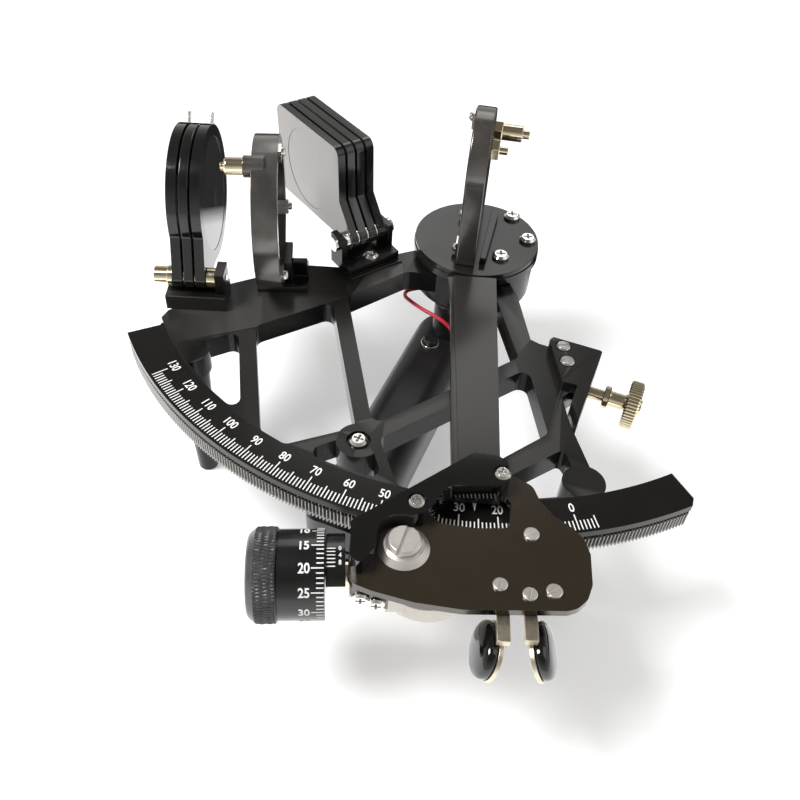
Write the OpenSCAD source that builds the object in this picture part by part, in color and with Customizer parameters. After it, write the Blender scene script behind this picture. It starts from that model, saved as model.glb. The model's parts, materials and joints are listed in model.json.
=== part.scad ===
// Marine sextant with a micrometer drum, built as separate parts in one frame.
// Origin: centre of the pivot leg's foot on the rest plane. Z points up, the
// arc lies towards -Y, larger readings lie towards -X. All sizes in mm.

/* [Frame and arc] */
// height of the arc's top face above the rest plane
scale_h = 72; // [68:1:80]
// radial width of the arc
arc_w = 15; // [14.5:0.25:15.5]
// outer radius of the arc at the tips of the rack teeth
arc_r_out = 162; // [161:0.5:164]
// thickness of the frame casting
frame_t = 10; // [9:0.5:10]
// depth of the arc's toothed rim below its top face
arc_depth = 11.5; // [11:0.5:11.5]
// thickness of the arc's graduated face
face_t = 2.8; // [2.5:0.1:2.9]
// radial width of the rim's deep band
band_w = 9; // [8.5:0.25:9.5]
// reading at the right end of the arc
read_low = -33; // [-33:1:-32]
// reading at the left end of the arc
read_high = 150; // [149:1:151]
// radius of the hub plate
hub_r = 27.5; // [27:0.5:28]
// depth of the hub plate below the arc's top face
hub_depth = 16; // [15:0.5:17]
// depth of the hub's boss below the arc's top face
boss_depth = 26; // [25:0.5:27]
// radius of the hub's boss
boss_r = 12.5; // [12:0.5:13]
// width of the left struts
strut_w = 7; // [6:0.5:8]

/* [Pivot] */
// radius of the index arm's spindle
spindle_r = 6; // [5:0.5:6.5]
// running clearance of the spindle in its bush
spindle_clear = 0.05; // [0.03:0.01:0.08]
// outer radius of the pivot bush
bush_r = 9; // [8.5:0.5:9.5]
// radius of a leg at its foot
foot_r = 4.5; // [4:0.25:5]
// radius of a leg at its top
leg_top_r = 6.8; // [6:0.1:7]

/* [Handle] */
// width of the grip
grip_w = 30; // [28:1:31]
// depth of the grip
grip_d = 28; // [26:1:28]
// length of the grip without its cap
grip_l = 122; // [118:1:124]
// length of the battery cap
cap_l = 14; // [12:1:16]
// wall of the grip
grip_wall = 3; // [2.5:0.5:4]
// radius of the handle posts
post_r = 6.5; // [6:0.25:6.75]
// radius of the light switch button
switch_r = 3.2; // [2.8:0.1:3.5]
// travel of the light switch button
switch_travel = 1.5; // [1:0.1:1.8]

/* [Index arm] */
// reading shown in the rest pose
rest_reading = 25.25; // [25.25:0.25:25.25]
// radius of the arm's hub disc
disc_r = 29; // [28.5:0.25:29.5]
// thickness of the arm's hub disc
disc_t = 3.2; // [3:0.1:3.4]
// gap between the arm and the arc's face
arm_gap = 1.3; // [1.2:0.1:1.5]
// height of the arm's top face above the arc's face
arm_top = 6.5; // [6.2:0.1:6.8]
// thickness of the end plate
plate_t = 3; // [2.5:0.25:3]
// height of the end plate's underside above the arc's face
plate_z = 5; // [5:0.1:5.2]
// height of the arm cover
cover_h = 7; // [6:0.5:8]

/* [Index mirror] */
// width of the index mirror's frame
mirror_w = 46; // [44:0.5:48]
// height of the index mirror's frame
mirror_h = 62; // [60:0.5:63]
// thickness of the index mirror's frame
mirror_t = 8.5; // [8:0.5:9]
// turn of the index mirror against the arm
mirror_turn = -6.25; // [-8:0.25:-5]
// thickness of the mirror base on the arm's disc
base_t = 2.5; // [2.5:0.1:3]

/* [Horizon mirror] */
// outer radius of the horizon mirror's ring
ring_r = 31.5; // [31:0.25:32]
// inner radius of the horizon mirror's ring
ring_bore = 26.5; // [26:0.25:27.5]
// thickness of the horizon mirror's ring
ring_t = 10; // [9:0.5:10]
// thickness of the mirror glasses
glass_t = 3; // [2.5:0.25:3.5]
// turn of the horizon mirror against the arc's middle line
ring_turn = 25; // [24.5:0.25:25.5]

/* [Shades] */
// outer radius of a horizon shade
hs_r = 28.5; // [28:0.25:29]
// inner radius of a horizon shade
hs_bore = 22.5; // [21.5:0.25:23]
// thickness of a horizon shade's frame
hs_t = 4; // [3.8:0.1:4.2]
// spacing of the horizon shades
hs_pitch = 4.8; // [4.7:0.1:5]
// height of a horizon shade's centre above its hinge
hs_up = 21.5; // [21:0.25:22.5]
// distance of a horizon shade's centre behind its hinge
hs_back = 30; // [29.5:0.25:30.5]
// width of an index shade's plate
is_w = 54; // [52:0.5:55]
// height of an index shade's plate
is_h = 42.5; // [41:0.5:43]
// thickness of an index shade's frame
is_t = 3.6; // [3.2:0.1:3.8]
// spacing of the index shades
is_pitch = 4.8; // [4.6:0.1:5]
// thickness of the shade glasses
shade_glass_t = 1.6; // [1.2:0.1:2]
// radius of the shade hinge pins
hinge_r = 2; // [1.5:0.1:2.2]
// running clearance of the shades on their pins
hinge_clear = 0.05; // [0.03:0.01:0.08]
// height of the shade hinges above the arc's face
hinge_z = 12; // [11.5:0.1:12.5]

/* [Micrometer] */
// outer radius of the worm's thread
worm_r = 8.7; // [8.6:0.05:8.75]
// working depth of the worm in the rack
mesh = 0.7; // [0.65:0.05:0.75]
// radial depth of the teeth and of the thread
tooth_d = 1.1; // [1.05:0.05:1.2]
// width of a tooth at its tip
tooth_tip = 0.3; // [0.25:0.05:0.35]
// running clearance on each flank
flank_clear = 0.14; // [0.12:0.01:0.16]
// height of the worm's axis below the arc's face
worm_z = 9.5; // [9:0.1:9.8]
// radius of the drum's graduated body
drum_r = 15.2; // [15:0.1:15.5]
// radius of the drum's knurled end
knurl_r = 16.2; // [16:0.1:16.5]
// length of the drum's graduated body
drum_l = 15.8; // [15:0.2:16.4]
// length of the drum's knurled end
knurl_l = 9.6; // [9:0.2:10.4]
// radius of the worm shaft
shaft_r = 3; // [2.5:0.1:3.2]
// running clearance of the worm shaft
shaft_clear = 0.05; // [0.03:0.01:0.08]
// outer radius of the worm shaft's bush
tube_r = 5; // [4.5:0.1:5.5]
// outer radius of the vernier sleeve
vernier_r = 13.5; // [13:0.1:14]

/* [Levers] */
// length of a release pad
pad_l = 19; // [17:0.5:20]
// width of a release pad
pad_w = 15; // [13:0.5:16]
// thickness of a release pad
pad_t = 4.8; // [4:0.2:5]
// lean of the release pads from upright
pad_lean = 25; // [20:1:28]

/* [Telescope bracket] */
// height of the bracket's top face above the arc's face
bracket_top = 5; // [4.5:0.5:6]
// radius of the thumbscrew's knurled disc
thumb_r = 9.8; // [9:0.1:10.5]
// radius of the thumbscrew's stem
thumb_stem_r = 2.4; // [2:0.1:2.6]

/* [Hidden] */
$fn = 96;
fix = 0.02;
arm_turn = (62.5 - rest_reading) / 2;
arc_r_in = arc_r_out - arc_w;
arm_end = 24.4 - arc_r_out;
band_r = arc_r_out - band_w;
rib_r = arc_r_in + 3.5;
worm_d = arc_r_out + worm_r - mesh;
worm_turn = 5.87;
mid_r = arc_r_out - mesh / 2;
pitch = mid_r * PI / 360;
flank = tan(20);
disc_z = arm_gap;
base_z = disc_z + disc_t;
mirror_z = base_z + base_t;
plate_top = plate_z + plate_t;
cover_top = plate_top + cover_h;
grip_top = 35;
post_low = rim(15.485, -90.871);
post_high = [-4, -21.5];
switch_at = [-7.5, -33.2];
leg_left = rim(4.589, -126.146);
leg_right = rim(5.677, -55.523);
hs_o = rim(1.594, -140.749);
hs_turn = 20.6;
is_o = [-55.1, -40.4];
between_shades = (is_o + hs_o) / 2;
ring_c = [between_shades[0] + 9.15, between_shades[1] + 6.9, 34.2];
is_turn = 56;
swing_c = [-24.8, -13.2 - arc_r_out];
lever_l_at = [6, -24.2 - arc_r_out];
lever_r_at = [15.2, -26.9 - arc_r_out];
thumb_at = [70.8, -68.3, -2];
glass_sunk = 0.15;
lever_z = plate_z - 3;
lever_t = 1.5;
read_min = -5;
read_max = 130;

// direction on the arc of a reading, as an angle from +X
function arc_at(reading) = 270 - (reading - 62.5) / 2;
function polar(r, a) = [r * cos(a), r * sin(a)];
// point inside the arc's inner radius by d, at angle a
function rim(d, a) = polar(arc_r_in - d, a);
// points of the arm's end, with Y counted from the rack's radius towards the pivot
function end_pts(p) = [for (q = p) [q[0], q[1] - arc_r_out]];
// corner points of an outline with every corner rounded by radius r
function unit(v) = v / norm(v);
function corner(a, b, c, r) =
  let (u = unit(a - b), v = unit(c - b), h = acos(u * v) / 2,
       t = min(r / tan(h), norm(a - b) * 0.45, norm(c - b) * 0.45), q = t * tan(h),
       m = b + unit(u + v) * (q / sin(h)), p0 = b + u * t, p1 = b + v * t,
       a0 = atan2(p0[1] - m[1], p0[0] - m[0]), a1 = atan2(p1[1] - m[1], p1[0] - m[0]),
       d = a1 - a0, e = d > 180 ? d - 360 : (d < -180 ? d + 360 : d))
  [for (i = [0:5]) m + polar(q, a0 + e * i / 5)];
function rounded(p, r) = [for (i = [0:len(p) - 1])
  each corner(p[(i + len(p) - 1) % len(p)], p[i], p[(i + 1) % len(p)], r)];

module up(z) translate([0, 0, scale_h + z]) children();
module slab(z0, z1) up(z0) linear_extrude(z1 - z0) children();
module in_arm() rotate([0, 0, arm_turn]) children();
module rod(r, z0, z1) up(z0) cylinder(r = r, h = z1 - z0);
module strip(a, b, w) translate(a) rotate(atan2(b[1] - a[1], b[0] - a[0]))
  translate([-1.5, -w / 2]) square([norm(b - a) + 3, w]);
module sector(r0, r1, a0, a1) polygon(concat(
  [for (i = [0:96]) polar(r0, a0 + (a1 - a0) * i / 96)],
  [for (i = [96:-1:0]) polar(r1, a0 + (a1 - a0) * i / 96)]));
// axis along +X of the worm, from the mesh point
module in_worm() in_arm() rotate([0, 0, worm_turn]) up(-worm_z)
  translate([0, -worm_d, -scale_h]) translate([0, 0, scale_h]) children();
// cylinder along -X in the worm's frame, between two distances from the mesh point
module wrod(r, s0, s1) translate([-s1, 0, 0]) rotate([0, 90, 0]) cylinder(r = r, h = s1 - s0);

// screw with a domed head, a cross recess and a plain shank, standing on z = 0
module cross_screw(r, h, shank_r, shank) {
  difference() {
    union() {
      cylinder(r = r, h = h * 0.55);
      translate([0, 0, h * 0.55]) cylinder(r1 = r, r2 = r * 0.72, h = h * 0.45);
    }
    translate([0, 0, h * 0.45]) linear_extrude(h) {
      square([r * 1.15, r * 0.26], center = true);
      square([r * 0.26, r * 1.15], center = true);
    }
  }
  translate([0, 0, -shank]) cylinder(r = shank_r, h = shank);
}
module slot_screw(r, h, shank_r, shank, turn) {
  difference() {
    union() {
      cylinder(r = r, h = h * 0.7);
      translate([0, 0, h * 0.7]) cylinder(r1 = r, r2 = r * 0.85, h = h * 0.3);
    }
    translate([0, 0, h * 0.5]) rotate([0, 0, turn]) linear_extrude(h)
      square([r * 3, r * 0.28], center = true);
  }
  translate([0, 0, -shank]) cylinder(r = shank_r, h = shank);
}

// Frame casting: broad rail on the left, hub, right rail, braces and the rib under the arc.
bracket_screws_at = [[55.6, -53.9], [59.3, -62]];
window_a = [rim(0.299, -127.104), rim(26.436, -126.433), rim(0.519, -108.88), rim(0.67, -116.81)];
window_b = [rim(33.872, -126.191), [-44.6, -63], rim(20.876, -92.545), rim(0.313, -100.13),
  rim(0.376, -104.738)];
window_c = [rim(0.338, -97.522), rim(0.371, -84.286), rim(13.94, -88.277), rim(13.76, -93.442)];
window_d = [[-40, -57], [-24, -31], [-22, -29], [-4, -24], [14, -24], [17.7, -26.6], [37.7, -59.6],
  [39.8, -62.9], rim(24.5, -90.094)];
window_e = [rim(19.413, -87.889), [45.2, -67.5], rim(30.188, -57.943), rim(0.563, -76.856),
  rim(0.278, -79.793), rim(0.463, -82.55)];
window_f = [rim(21.775, -56.564), rim(17.616, -56.187), rim(0.498, -56.809), rim(0.466, -64.537),
  rim(0.457, -72.814)];
module frame_outline() polygon([rim(3.518, -136.92), rim(30.961, -141.649), [-65.5, -44.5], [-50, -39],
  [-31, -18], [-25, -12], [0, 0], [22, -17], [28, -24.5], [41.3, -50], [49, -52], rim(32.979, -52.949),
  rim(-0.088, -53.738), polar(rib_r, -48), polar(rib_r, -60), polar(rib_r, -75), polar(rib_r, -90),
  polar(rib_r, -105), polar(rib_r, -120), polar(rib_r, -134.2)]);
module frame() color([0.09, 0.09, 0.095]) difference() {
  union() {
    slab(-frame_t, 0) difference() {
      frame_outline();
      for (w = [window_a, window_b, window_c, window_d, window_e, window_f])
        polygon(rounded(w, 3.5));
    }
    slab(-frame_t, 0) {
      translate(post_low) circle(r = 8.4);
      translate(leg_left) circle(r = 8);
      translate(leg_right) circle(r = 8);
    }
    slab(-frame_t, -face_t) sector(arc_r_in, band_r - fix, arc_at(read_low), arc_at(read_high));
    slab(-frame_t, 0) polygon([[45, -51], [51, -51], [66, -51.5], [66, -70], [62, -78], [52, -62]]);
    rod(hub_r, -hub_depth, 0.6);
    rod(boss_r, -boss_depth, -hub_depth + 1);
  }
  up(-face_t - fix) difference() {
    cylinder(r = arc_r_out + 13, h = 20);
    translate([0, 0, -1]) cylinder(r = arc_r_in - fix, h = 22);
  }
  up(-30) difference() {
    cylinder(r = arc_r_out + 28, h = 60);
    translate([0, 0, -1]) cylinder(r = band_r - fix, h = 62);
  }
  rod(bush_r + fix, -40, 3);
  up(0.6 - 3.6) translate([post_high[0], post_high[1], 0]) cylinder(r = 4.6, h = 8);
  for (p = [post_low, post_high]) up(-40) translate(p) cylinder(r = 2.05, h = 60);
  up(-1.2) translate(post_low) cylinder(r = 4.6, h = 8);
  for (p = bracket_screws_at) up(-7) translate(p) cylinder(r = 2.05, h = 12);
  up(-7) translate([-39.9, -32]) cylinder(r = 2.05, h = 12);
}

// Arc of one piece: graduated face, a groove and the toothed rim.
function rack_tooth(k) = let (a = arc_at(k), w = tooth_tip / 2 / arc_r_out * 180 / PI,
    wb = (tooth_tip / 2 + tooth_d * flank) / arc_r_out * 180 / PI)
  [polar(arc_r_out - tooth_d, a + wb), polar(arc_r_out, a + w), polar(arc_r_out, a - w),
   polar(arc_r_out - tooth_d, a - wb)];
module graduated_arc() color([0.14, 0.13, 0.12]) difference() {
  union() {
    slab(-face_t, 0) sector(arc_r_in, arc_r_out, arc_at(read_low), arc_at(read_high));
    slab(-4.5, -2.4) sector(band_r, arc_r_out - 1.2, arc_at(read_low), arc_at(read_high));
    slab(-arc_depth, -4.5) polygon(concat(
      [for (i = [96:-1:0]) polar(band_r, arc_at(read_low) + (arc_at(read_high) - arc_at(read_low)) * i / 96)],
      [for (k = [read_low + 1:read_high - 1]) each rack_tooth(k)]));
  }
  up(-20) translate([polar(arc_r_out, arc_at(read_low))[0], polar(arc_r_out, arc_at(read_low))[1], 0])
    rotate([0, 0, arc_at(read_low) + 45]) translate([-1.8, -8, 0]) cube([16, 16, 40]);
}

module pivot_bush() color([0.75, 0.6, 0.32]) difference() {
  rod(bush_r, -22, disc_z - 0.05);
  rod(spindle_r + spindle_clear, -30, 5);
}
module leg(top) up(-scale_h) cylinder(r1 = foot_r, r2 = leg_top_r, h = scale_h - top);
module pivot_leg() color([0.1, 0.1, 0.1]) {
  leg(boss_depth + 3);
  rod(boss_r - 0.5, -boss_depth - 3, -boss_depth);
}
module arc_legs() color([0.1, 0.1, 0.1]) for (p = [leg_left, leg_right])
  translate([p[0], p[1], 0]) leg(frame_t);

// Grip: a rounded hollow bar along Y under the frame, closed by the battery cap.
module grip_section(w, d, r) {
  square([w - 2 * r, d], center = true);
  square([w, d - 2 * r], center = true);
  for (x = [-1, 1], y = [-1, 1]) translate([x * (w / 2 - r), y * (d / 2 - r)]) circle(r = r);
}
module in_grip() translate([-5, -12, scale_h - grip_top - grip_d / 2]) rotate([90, 0, 0]) children();
module handle_grip() color([0.06, 0.06, 0.06]) difference() {
  in_grip() difference() {
    intersection() {
      linear_extrude(grip_l) grip_section(grip_w, grip_d, 10);
      rotate([90, 0, 0]) translate([0, grip_l / 2 + 20, -40]) linear_extrude(80)
        grip_section(grip_w, grip_l + 40, 9);
    }
    translate([0, 0, 16]) cylinder(r = grip_d / 2 - grip_wall - 2.5, h = grip_l);
  }
  up(-grip_top - 8) translate(switch_at) cylinder(r = 4.42, h = 9);
}
module handle_posts() color([0.12, 0.12, 0.12]) difference() {
  union() {
    up(-grip_top) translate(post_low) cylinder(r = post_r, h = grip_top - frame_t);
    up(-grip_top) translate(post_high) cylinder(r = post_r, h = grip_top - hub_depth);
  }
  for (p = [post_low, post_high]) up(-25) translate(p) cylinder(r = 2.05, h = 30);
}
module battery_cap() color([0.07, 0.07, 0.07]) in_grip() translate([0, 0, grip_l + 0.3]) difference() {
  union() {
    intersection() {
      linear_extrude(cap_l) grip_section(grip_w, grip_d, 10);
      rotate([90, 0, 0]) translate([0, cap_l / 2 - 20, -40]) linear_extrude(80)
        grip_section(grip_w, cap_l + 40, 9);
    }
    translate([0, 0, -8]) cylinder(r = grip_d / 2 - grip_wall - 2.6, h = 9);
  }
  translate([-9, -1, cap_l - 1.2]) cube([18, 2, 4]);
}
module switch_ring() color([0.8, 0.8, 0.8]) difference() {
  up(-grip_top - 8) translate(switch_at) cylinder(r = 4.4, h = 9.2);
  up(-grip_top - 6.8) translate(switch_at) cylinder(r = switch_r + 0.06, h = 12);
}
module light_switch() color([0.1, 0.1, 0.1])
  up(-grip_top - 6.8 + switch_travel + 0.2) translate(switch_at) cylinder(r = switch_r, h = 8.4);

// Lead of the lamp, from the grip's top end up to the hub's underside.
lead_r = 0.9;
lead = [[-16, -14, -17.2], [-19, -14.5, -18.5], [-23, -15.5, -20], [-26.3, -18.5, -20.5],
  [-25.5, -22.3, -20.3], [-22.2, -24.8, -20], [-17.5, -27, -20], [-13.1, -28.7, -20],
  [-7, -30.2, -20.3], [-2, -30.9, -22], [1.5, -30.6, -25.5], [3.4, -30.2, -30], [4, -30, -34.7]];
function lead_ring(i) = let (n = len(lead) - 1, p = lead[i],
    d = unit(lead[min(i + 1, n)] - lead[max(i - 1, 0)]), s = unit(cross(d, [0.3, -0.5, 0.8])),
    t = cross(d, s))
  [for (k = [0:7]) p + (s * cos(45 * k) + t * sin(45 * k)) * lead_r];
module lamp_lead() color([0.8, 0.08, 0.1]) up(0) polyhedron(convexity = 8,
  points = [for (i = [0:len(lead) - 1]) each lead_ring(i)],
  faces = concat([[for (k = [0:7]) k]],
    [for (i = [0:len(lead) - 2], k = [0:7])
      [i * 8 + k, (i + 1) * 8 + k, (i + 1) * 8 + (k + 1) % 8, i * 8 + (k + 1) % 8]],
    [[for (k = [7:-1:0]) (len(lead) - 1) * 8 + k]]));

// Horizon mirror. Its frame: +X is the mirror's normal, Y lies in the mirror's plane.
module in_ring() translate([ring_c[0], ring_c[1], scale_h + ring_c[2]])
  rotate([0, 0, ring_turn]) children();
module xrod(r, x0, x1) translate([x0, 0, 0]) rotate([0, 90, 0]) cylinder(r = r, h = x1 - x0);
lug_at = [-9.9, 27.3];
module horizon_mirror_frame() color([0.08, 0.08, 0.08]) in_ring() difference() {
  union() {
    xrod(ring_r, -ring_t / 2, ring_t / 2);
    translate([0, lug_at[0], lug_at[1]]) xrod(4.2, -ring_t / 2 - 3, 0);
  }
  xrod(ring_bore, -ring_t / 2 + 2.5, 20);
  xrod(ring_bore - 1.8, -20, 20);
  translate([0, 0, -ring_c[2] - 4]) cube([40, 40, 9.2], center = true);
}
module horizon_mirror() color([0.75, 0.78, 0.8]) in_ring()
  xrod(ring_bore - fix, -ring_t / 2 + 2.5, -ring_t / 2 + 2.5 + glass_t);
module horizon_mirror_bracket() color([0.08, 0.08, 0.08]) in_ring() {
  translate([-7, -10, -ring_c[2]]) cube([22, 20, 2.55]);
  translate([ring_t / 2 + fix, -8, -ring_c[2]]) cube([3.5, 16, 14]);
  translate([ring_t / 2 + 3, -1.75, -ring_c[2]]) cube([6.9, 3.5, 10]);
}
module ring_clip(turn) in_ring() rotate([turn, 0, 0]) {
  translate([-ring_t / 2 + 2.52 + glass_t, -3, ring_bore - 3.4]) cube([1, 6, 3]);
  translate([ring_t / 2 + fix, -3, ring_bore - 1.2]) cube([1.2, 6, 4.6]);
  translate([ring_t / 2 - 4, -3, ring_bore - 1.4]) cube([5.2, 6, 1]);
  translate([ring_t / 2 + 1.2, 0, ring_bore + 1.6]) rotate([0, 90, 0]) cross_screw(1.9, 1.6, 0.9, 1);
}
module horizon_mirror_clips() color([0.8, 0.8, 0.8]) {
  ring_clip(0);
  ring_clip(118);
  ring_clip(-118);
}
module adjuster(len) {
  cylinder(r = 3.4, h = len);
  translate([0, 0, len]) cylinder(r1 = 3.4, r2 = 2.8, h = 0.8);
  translate([0, 0, len + 0.8]) cylinder(r = 1.5, h = 1.4);
}
module horizon_mirror_adjusters() color([0.75, 0.66, 0.42]) in_ring()
  translate([-ring_t / 2 - 3 - fix, lug_at[0], lug_at[1]]) rotate([0, -90, 0]) adjuster(6.6);

// Horizon shades. Their frame: +X along the hinge pin, +Y away from the viewer.
module in_hs() translate([hs_o[0], hs_o[1], scale_h + hinge_z]) rotate([0, 0, hs_turn]) children();
hs_first = 8;
module hs_at(k) in_hs() translate([hs_first + (k - 1) * hs_pitch, 0, 0]) children();
pull_turn = 42;
module in_pull() translate([hs_t / 2, hs_back, hs_up]) rotate([-pull_turn, 0, 0])
  translate([0, 0, hs_r - 2.9]) children();
module hs_frame(k) hs_at(k) difference() {
  union() {
    translate([0, hs_back, hs_up]) xrod(hs_r, 0, hs_t);
    xrod(4.6, 0, hs_t);
    rotate([90, 0, 90]) linear_extrude(hs_t) polygon([[-4.4, 1.2], [1.6, -4.3], [22, -5],
      [10, 40]]);
  }
  translate([0, hs_back, hs_up]) xrod(hs_bore, -1, hs_t + 1);
  translate([0, hs_back, hs_up]) xrod(hs_bore + 1.2, hs_seat, hs_t + 1);
  xrod(hinge_r + hinge_clear, -1, hs_t + 1);
  if (k != 2) in_pull() cylinder(r = 0.72, h = 10);
}
hs_seat = hs_t - glass_sunk - shade_glass_t - fix;
module horizon_shade_1() color([0.07, 0.07, 0.07]) hs_frame(1);
module horizon_shade_2() color([0.07, 0.07, 0.07]) hs_frame(2);
module horizon_shade_3() color([0.07, 0.07, 0.07]) hs_frame(3);
module hs_glass(k) hs_at(k) translate([0, hs_back, hs_up])
  xrod(hs_bore + 1.2 - fix, hs_seat + fix, hs_t - glass_sunk);
module horizon_shade_glass_1() color([0.25, 0.28, 0.28, 0.6]) hs_glass(1);
module horizon_shade_glass_2() color([0.3, 0.32, 0.3, 0.6]) hs_glass(2);
module horizon_shade_glass_3() color([0.4, 0.4, 0.38, 0.6]) hs_glass(3);
module shade_pull(k) hs_at(k) in_pull() cylinder(r = 0.7, h = 8.4);
module shade_pull_1() color([0.85, 0.85, 0.85]) shade_pull(1);
module shade_pull_3() color([0.85, 0.85, 0.85]) shade_pull(3);
module horizon_shade_block() color([0.07, 0.07, 0.07]) in_hs() difference() {
  union() {
    translate([4.5, -7.3, -hinge_z]) cube([25, 14, 6.8]);
    translate([25.6, -5, -hinge_z + 3]) cube([3.9, 10, 14]);
  }
  xrod(hinge_r + fix, -10, 40);
}
module horizon_shade_pin() color([0.78, 0.7, 0.48]) in_hs() {
  xrod(hinge_r, 6, 29.8);
  xrod(3.9, 0, 5.6);
  xrod(4.5, 5.6, hs_first - 0.1);
  for (k = [1, 2]) xrod(3.9, hs_first + (k - 1) * hs_pitch + hs_t + 0.1, hs_first + k * hs_pitch - 0.1);
  xrod(4.2, hs_first + 2 * hs_pitch + hs_t + 0.1, 25.6);
}

// room for the index arm at a reading, above the frame
module arm_path(reading) rotate([0, 0, (62.5 - reading) / 2]) slab(arm_gap - 0.4, 40) children();

// Index shades. Their frame: +X along the hinge pin, +Y to the left of the pin.
module in_is() translate([is_o[0], is_o[1], scale_h + hinge_z]) rotate([0, 0, is_turn]) children();
is_first = 7.6;
is_edge = 6;
is_roll = -2.5;
module is_at(k) in_is() translate([is_first + (k - 1) * is_pitch, 0, 0]) rotate([is_roll, 0, 0])
  rotate([90, 0, 90]) children();
is_mid = [is_edge + is_w / 2, is_h / 2 - 2];
is_seat = glass_sunk + shade_glass_t + fix;
module is_frame(k) is_at(k) difference() {
  linear_extrude(is_t) {
    polygon(rounded([[is_edge, -2], [is_edge + is_w, -2], [is_edge + is_w, is_h - 2],
      [is_edge, is_h - 2]], 4));
    circle(r = 4.6);
    polygon([[0, -4.6], [9, -2], [9, 20], [-3, 3.5]]);
  }
  translate([is_mid[0], is_mid[1], -1]) cylinder(r = is_h / 2 - 4, h = 10);
  translate([is_mid[0], is_mid[1], -1]) cylinder(r = is_h / 2 - 2.8, h = 1 + is_seat);
  translate([0, 0, -1]) cylinder(r = hinge_r + hinge_clear, h = 10);
}
module index_shade_1() color([0.07, 0.07, 0.07]) is_frame(1);
module index_shade_2() color([0.07, 0.07, 0.07]) is_frame(2);
module index_shade_3() color([0.07, 0.07, 0.07]) is_frame(3);
module index_shade_4() color([0.07, 0.07, 0.07]) is_frame(4);
module is_glass(k) is_at(k) translate([is_mid[0], is_mid[1], glass_sunk])
  cylinder(r = is_h / 2 - 2.8 - fix, h = shade_glass_t);
module index_shade_glass_1() color([0.5, 0.52, 0.5, 0.6]) is_glass(1);
module index_shade_glass_2() color([0.4, 0.42, 0.4, 0.6]) is_glass(2);
module index_shade_glass_3() color([0.3, 0.32, 0.3, 0.6]) is_glass(3);
module index_shade_glass_4() color([0.2, 0.22, 0.2, 0.6]) is_glass(4);
module index_shade_block() color([0.07, 0.07, 0.07]) difference() {
  in_is() difference() {
    union() {
      translate([2, -13.5, -hinge_z]) cube([27, 18, 4.5]);
      translate([2, -5, -hinge_z]) cube([3, 9.5, 15.5]);
      translate([26.4, -5, -hinge_z]) cube([2.6, 9.5, 15.5]);
    }
    xrod(hinge_r + fix, -10, 40);
  }
  up(-3) translate([-39.9, -32]) cylinder(r = 2.05, h = 20);
  arm_path(read_max) polygon([[-14, 0], [-13.4, -29], [-11.9, -44.3], [-10.4, arm_end], [20, arm_end], [20, 0]]);
}
module index_shade_pin() color([0.8, 0.8, 0.8]) in_is() {
  xrod(hinge_r, 0.6, 30.4);
  xrod(3.4, 0.2, 2);
  xrod(3.4, 29, 30.8);
  for (k = [1:3]) xrod(3.9, is_first + (k - 1) * is_pitch + is_t + 0.1, is_first + k * is_pitch - 0.1);
  xrod(3.9, 5, is_first - 0.1);
  xrod(3.9, is_first + 3 * is_pitch + is_t + 0.1, 26.4);
}

module frame_screws() color([0.8, 0.8, 0.8]) {
  up(-1.2) translate(post_low) cross_screw(3.4, 2.4, 2, 22);
  up(0.6 - 3.6) translate(post_high) cross_screw(3.4, 2.4, 2, 20);
  up(4.5) translate([-39.9, -32]) cross_screw(3.4, 2.2, 2, 11);
  for (p = bracket_screws_at) up(bracket_top - 1) translate(p) slot_screw(2.9, 1.6, 2, 10, 20);
}

// Telescope bracket with its clamping foot and slot.
module telescope_bracket() color([0.08, 0.08, 0.08]) difference() {
  union() {
    slab(fix, bracket_top) polygon(rounded([[49.3, -52.6], [50.3, -50], [71.2, -49.9],
      [71.2, -73.5], [60.3, -74.3]], 1.2));
    slab(-8, bracket_top) polygon([[66.3, -52], [71.2, -52], [71.2, -92.4], [70.2, -92.4],
      [66.3, -84.6]]);
  }
  slab(-20, fix) frame_outline();
  for (p = bracket_screws_at) {
    up(-1) translate(p) cylinder(r = 2.05, h = 20);
    up(bracket_top - 1) translate(p) cylinder(r = 3.3, h = 9);
  }
  translate([60, thumb_at[1], scale_h + thumb_at[2]]) xrod(thumb_stem_r + 0.05, 0, 30);
  arm_path(read_min) polygon([[-20, 0], [8.9, 0], [9.1, -29], [8.1, arm_end], [-20, arm_end]]);
}
module telescope_thumbscrew() color([0.78, 0.72, 0.55])
  translate([thumb_at[0], thumb_at[1], scale_h + thumb_at[2]]) {
    xrod(thumb_stem_r, -4.3, 15.5);
    xrod(4.6, 6.2, 8.6);
    xrod(3.4, 8.6, 15);
    xrod(thumb_r, 15, 20.4);
    xrod(3.4, 20.4, 21.4);
  }

// Index arm and all it carries.
arm_pts = [[-12.8, -29], [-11.3, -44.5], [-9.8, arm_end], [-10, arm_end - 12.4],
  [7.5, arm_end - 12.4], [7.5, arm_end], [8.5, -29]];
module index_arm() color([0.13, 0.125, 0.12]) in_arm() difference() {
  union() {
    rod(disc_r, disc_z, disc_z + disc_t);
    slab(arm_gap, disc_z + disc_t) polygon([[-13.5, -20], [-12.2, -34], [8.5, -34], [8.5, -20]]);
    slab(arm_gap, arm_top - 1) polygon(arm_pts);
    slab(arm_gap, arm_top) polygon([[-10.2, -29], [-7.4, arm_end], [7.5, arm_end], [8.5, -29]]);
  }
  slab(plate_z - fix, 20) translate([0, arm_end - 0.4 - 30]) square([120, 60], center = true);
  rod(spindle_r - 1 + fix, 0, 20);
  for (p = base_screws_at) up(0) translate(p) cylinder(r = 1.55, h = 20);
  for (p = cover_screws_at) up(0) translate(p) cylinder(r = 1.55, h = 20);
}
module pivot_spindle() color([0.7, 0.7, 0.7]) {
  rod(spindle_r, -22.05, disc_z);
  rod(spindle_r - 1, 0, base_z);
  rod(8, -23.4, -22.05);
  rod(4, -25.6, -23.4);
}
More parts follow.
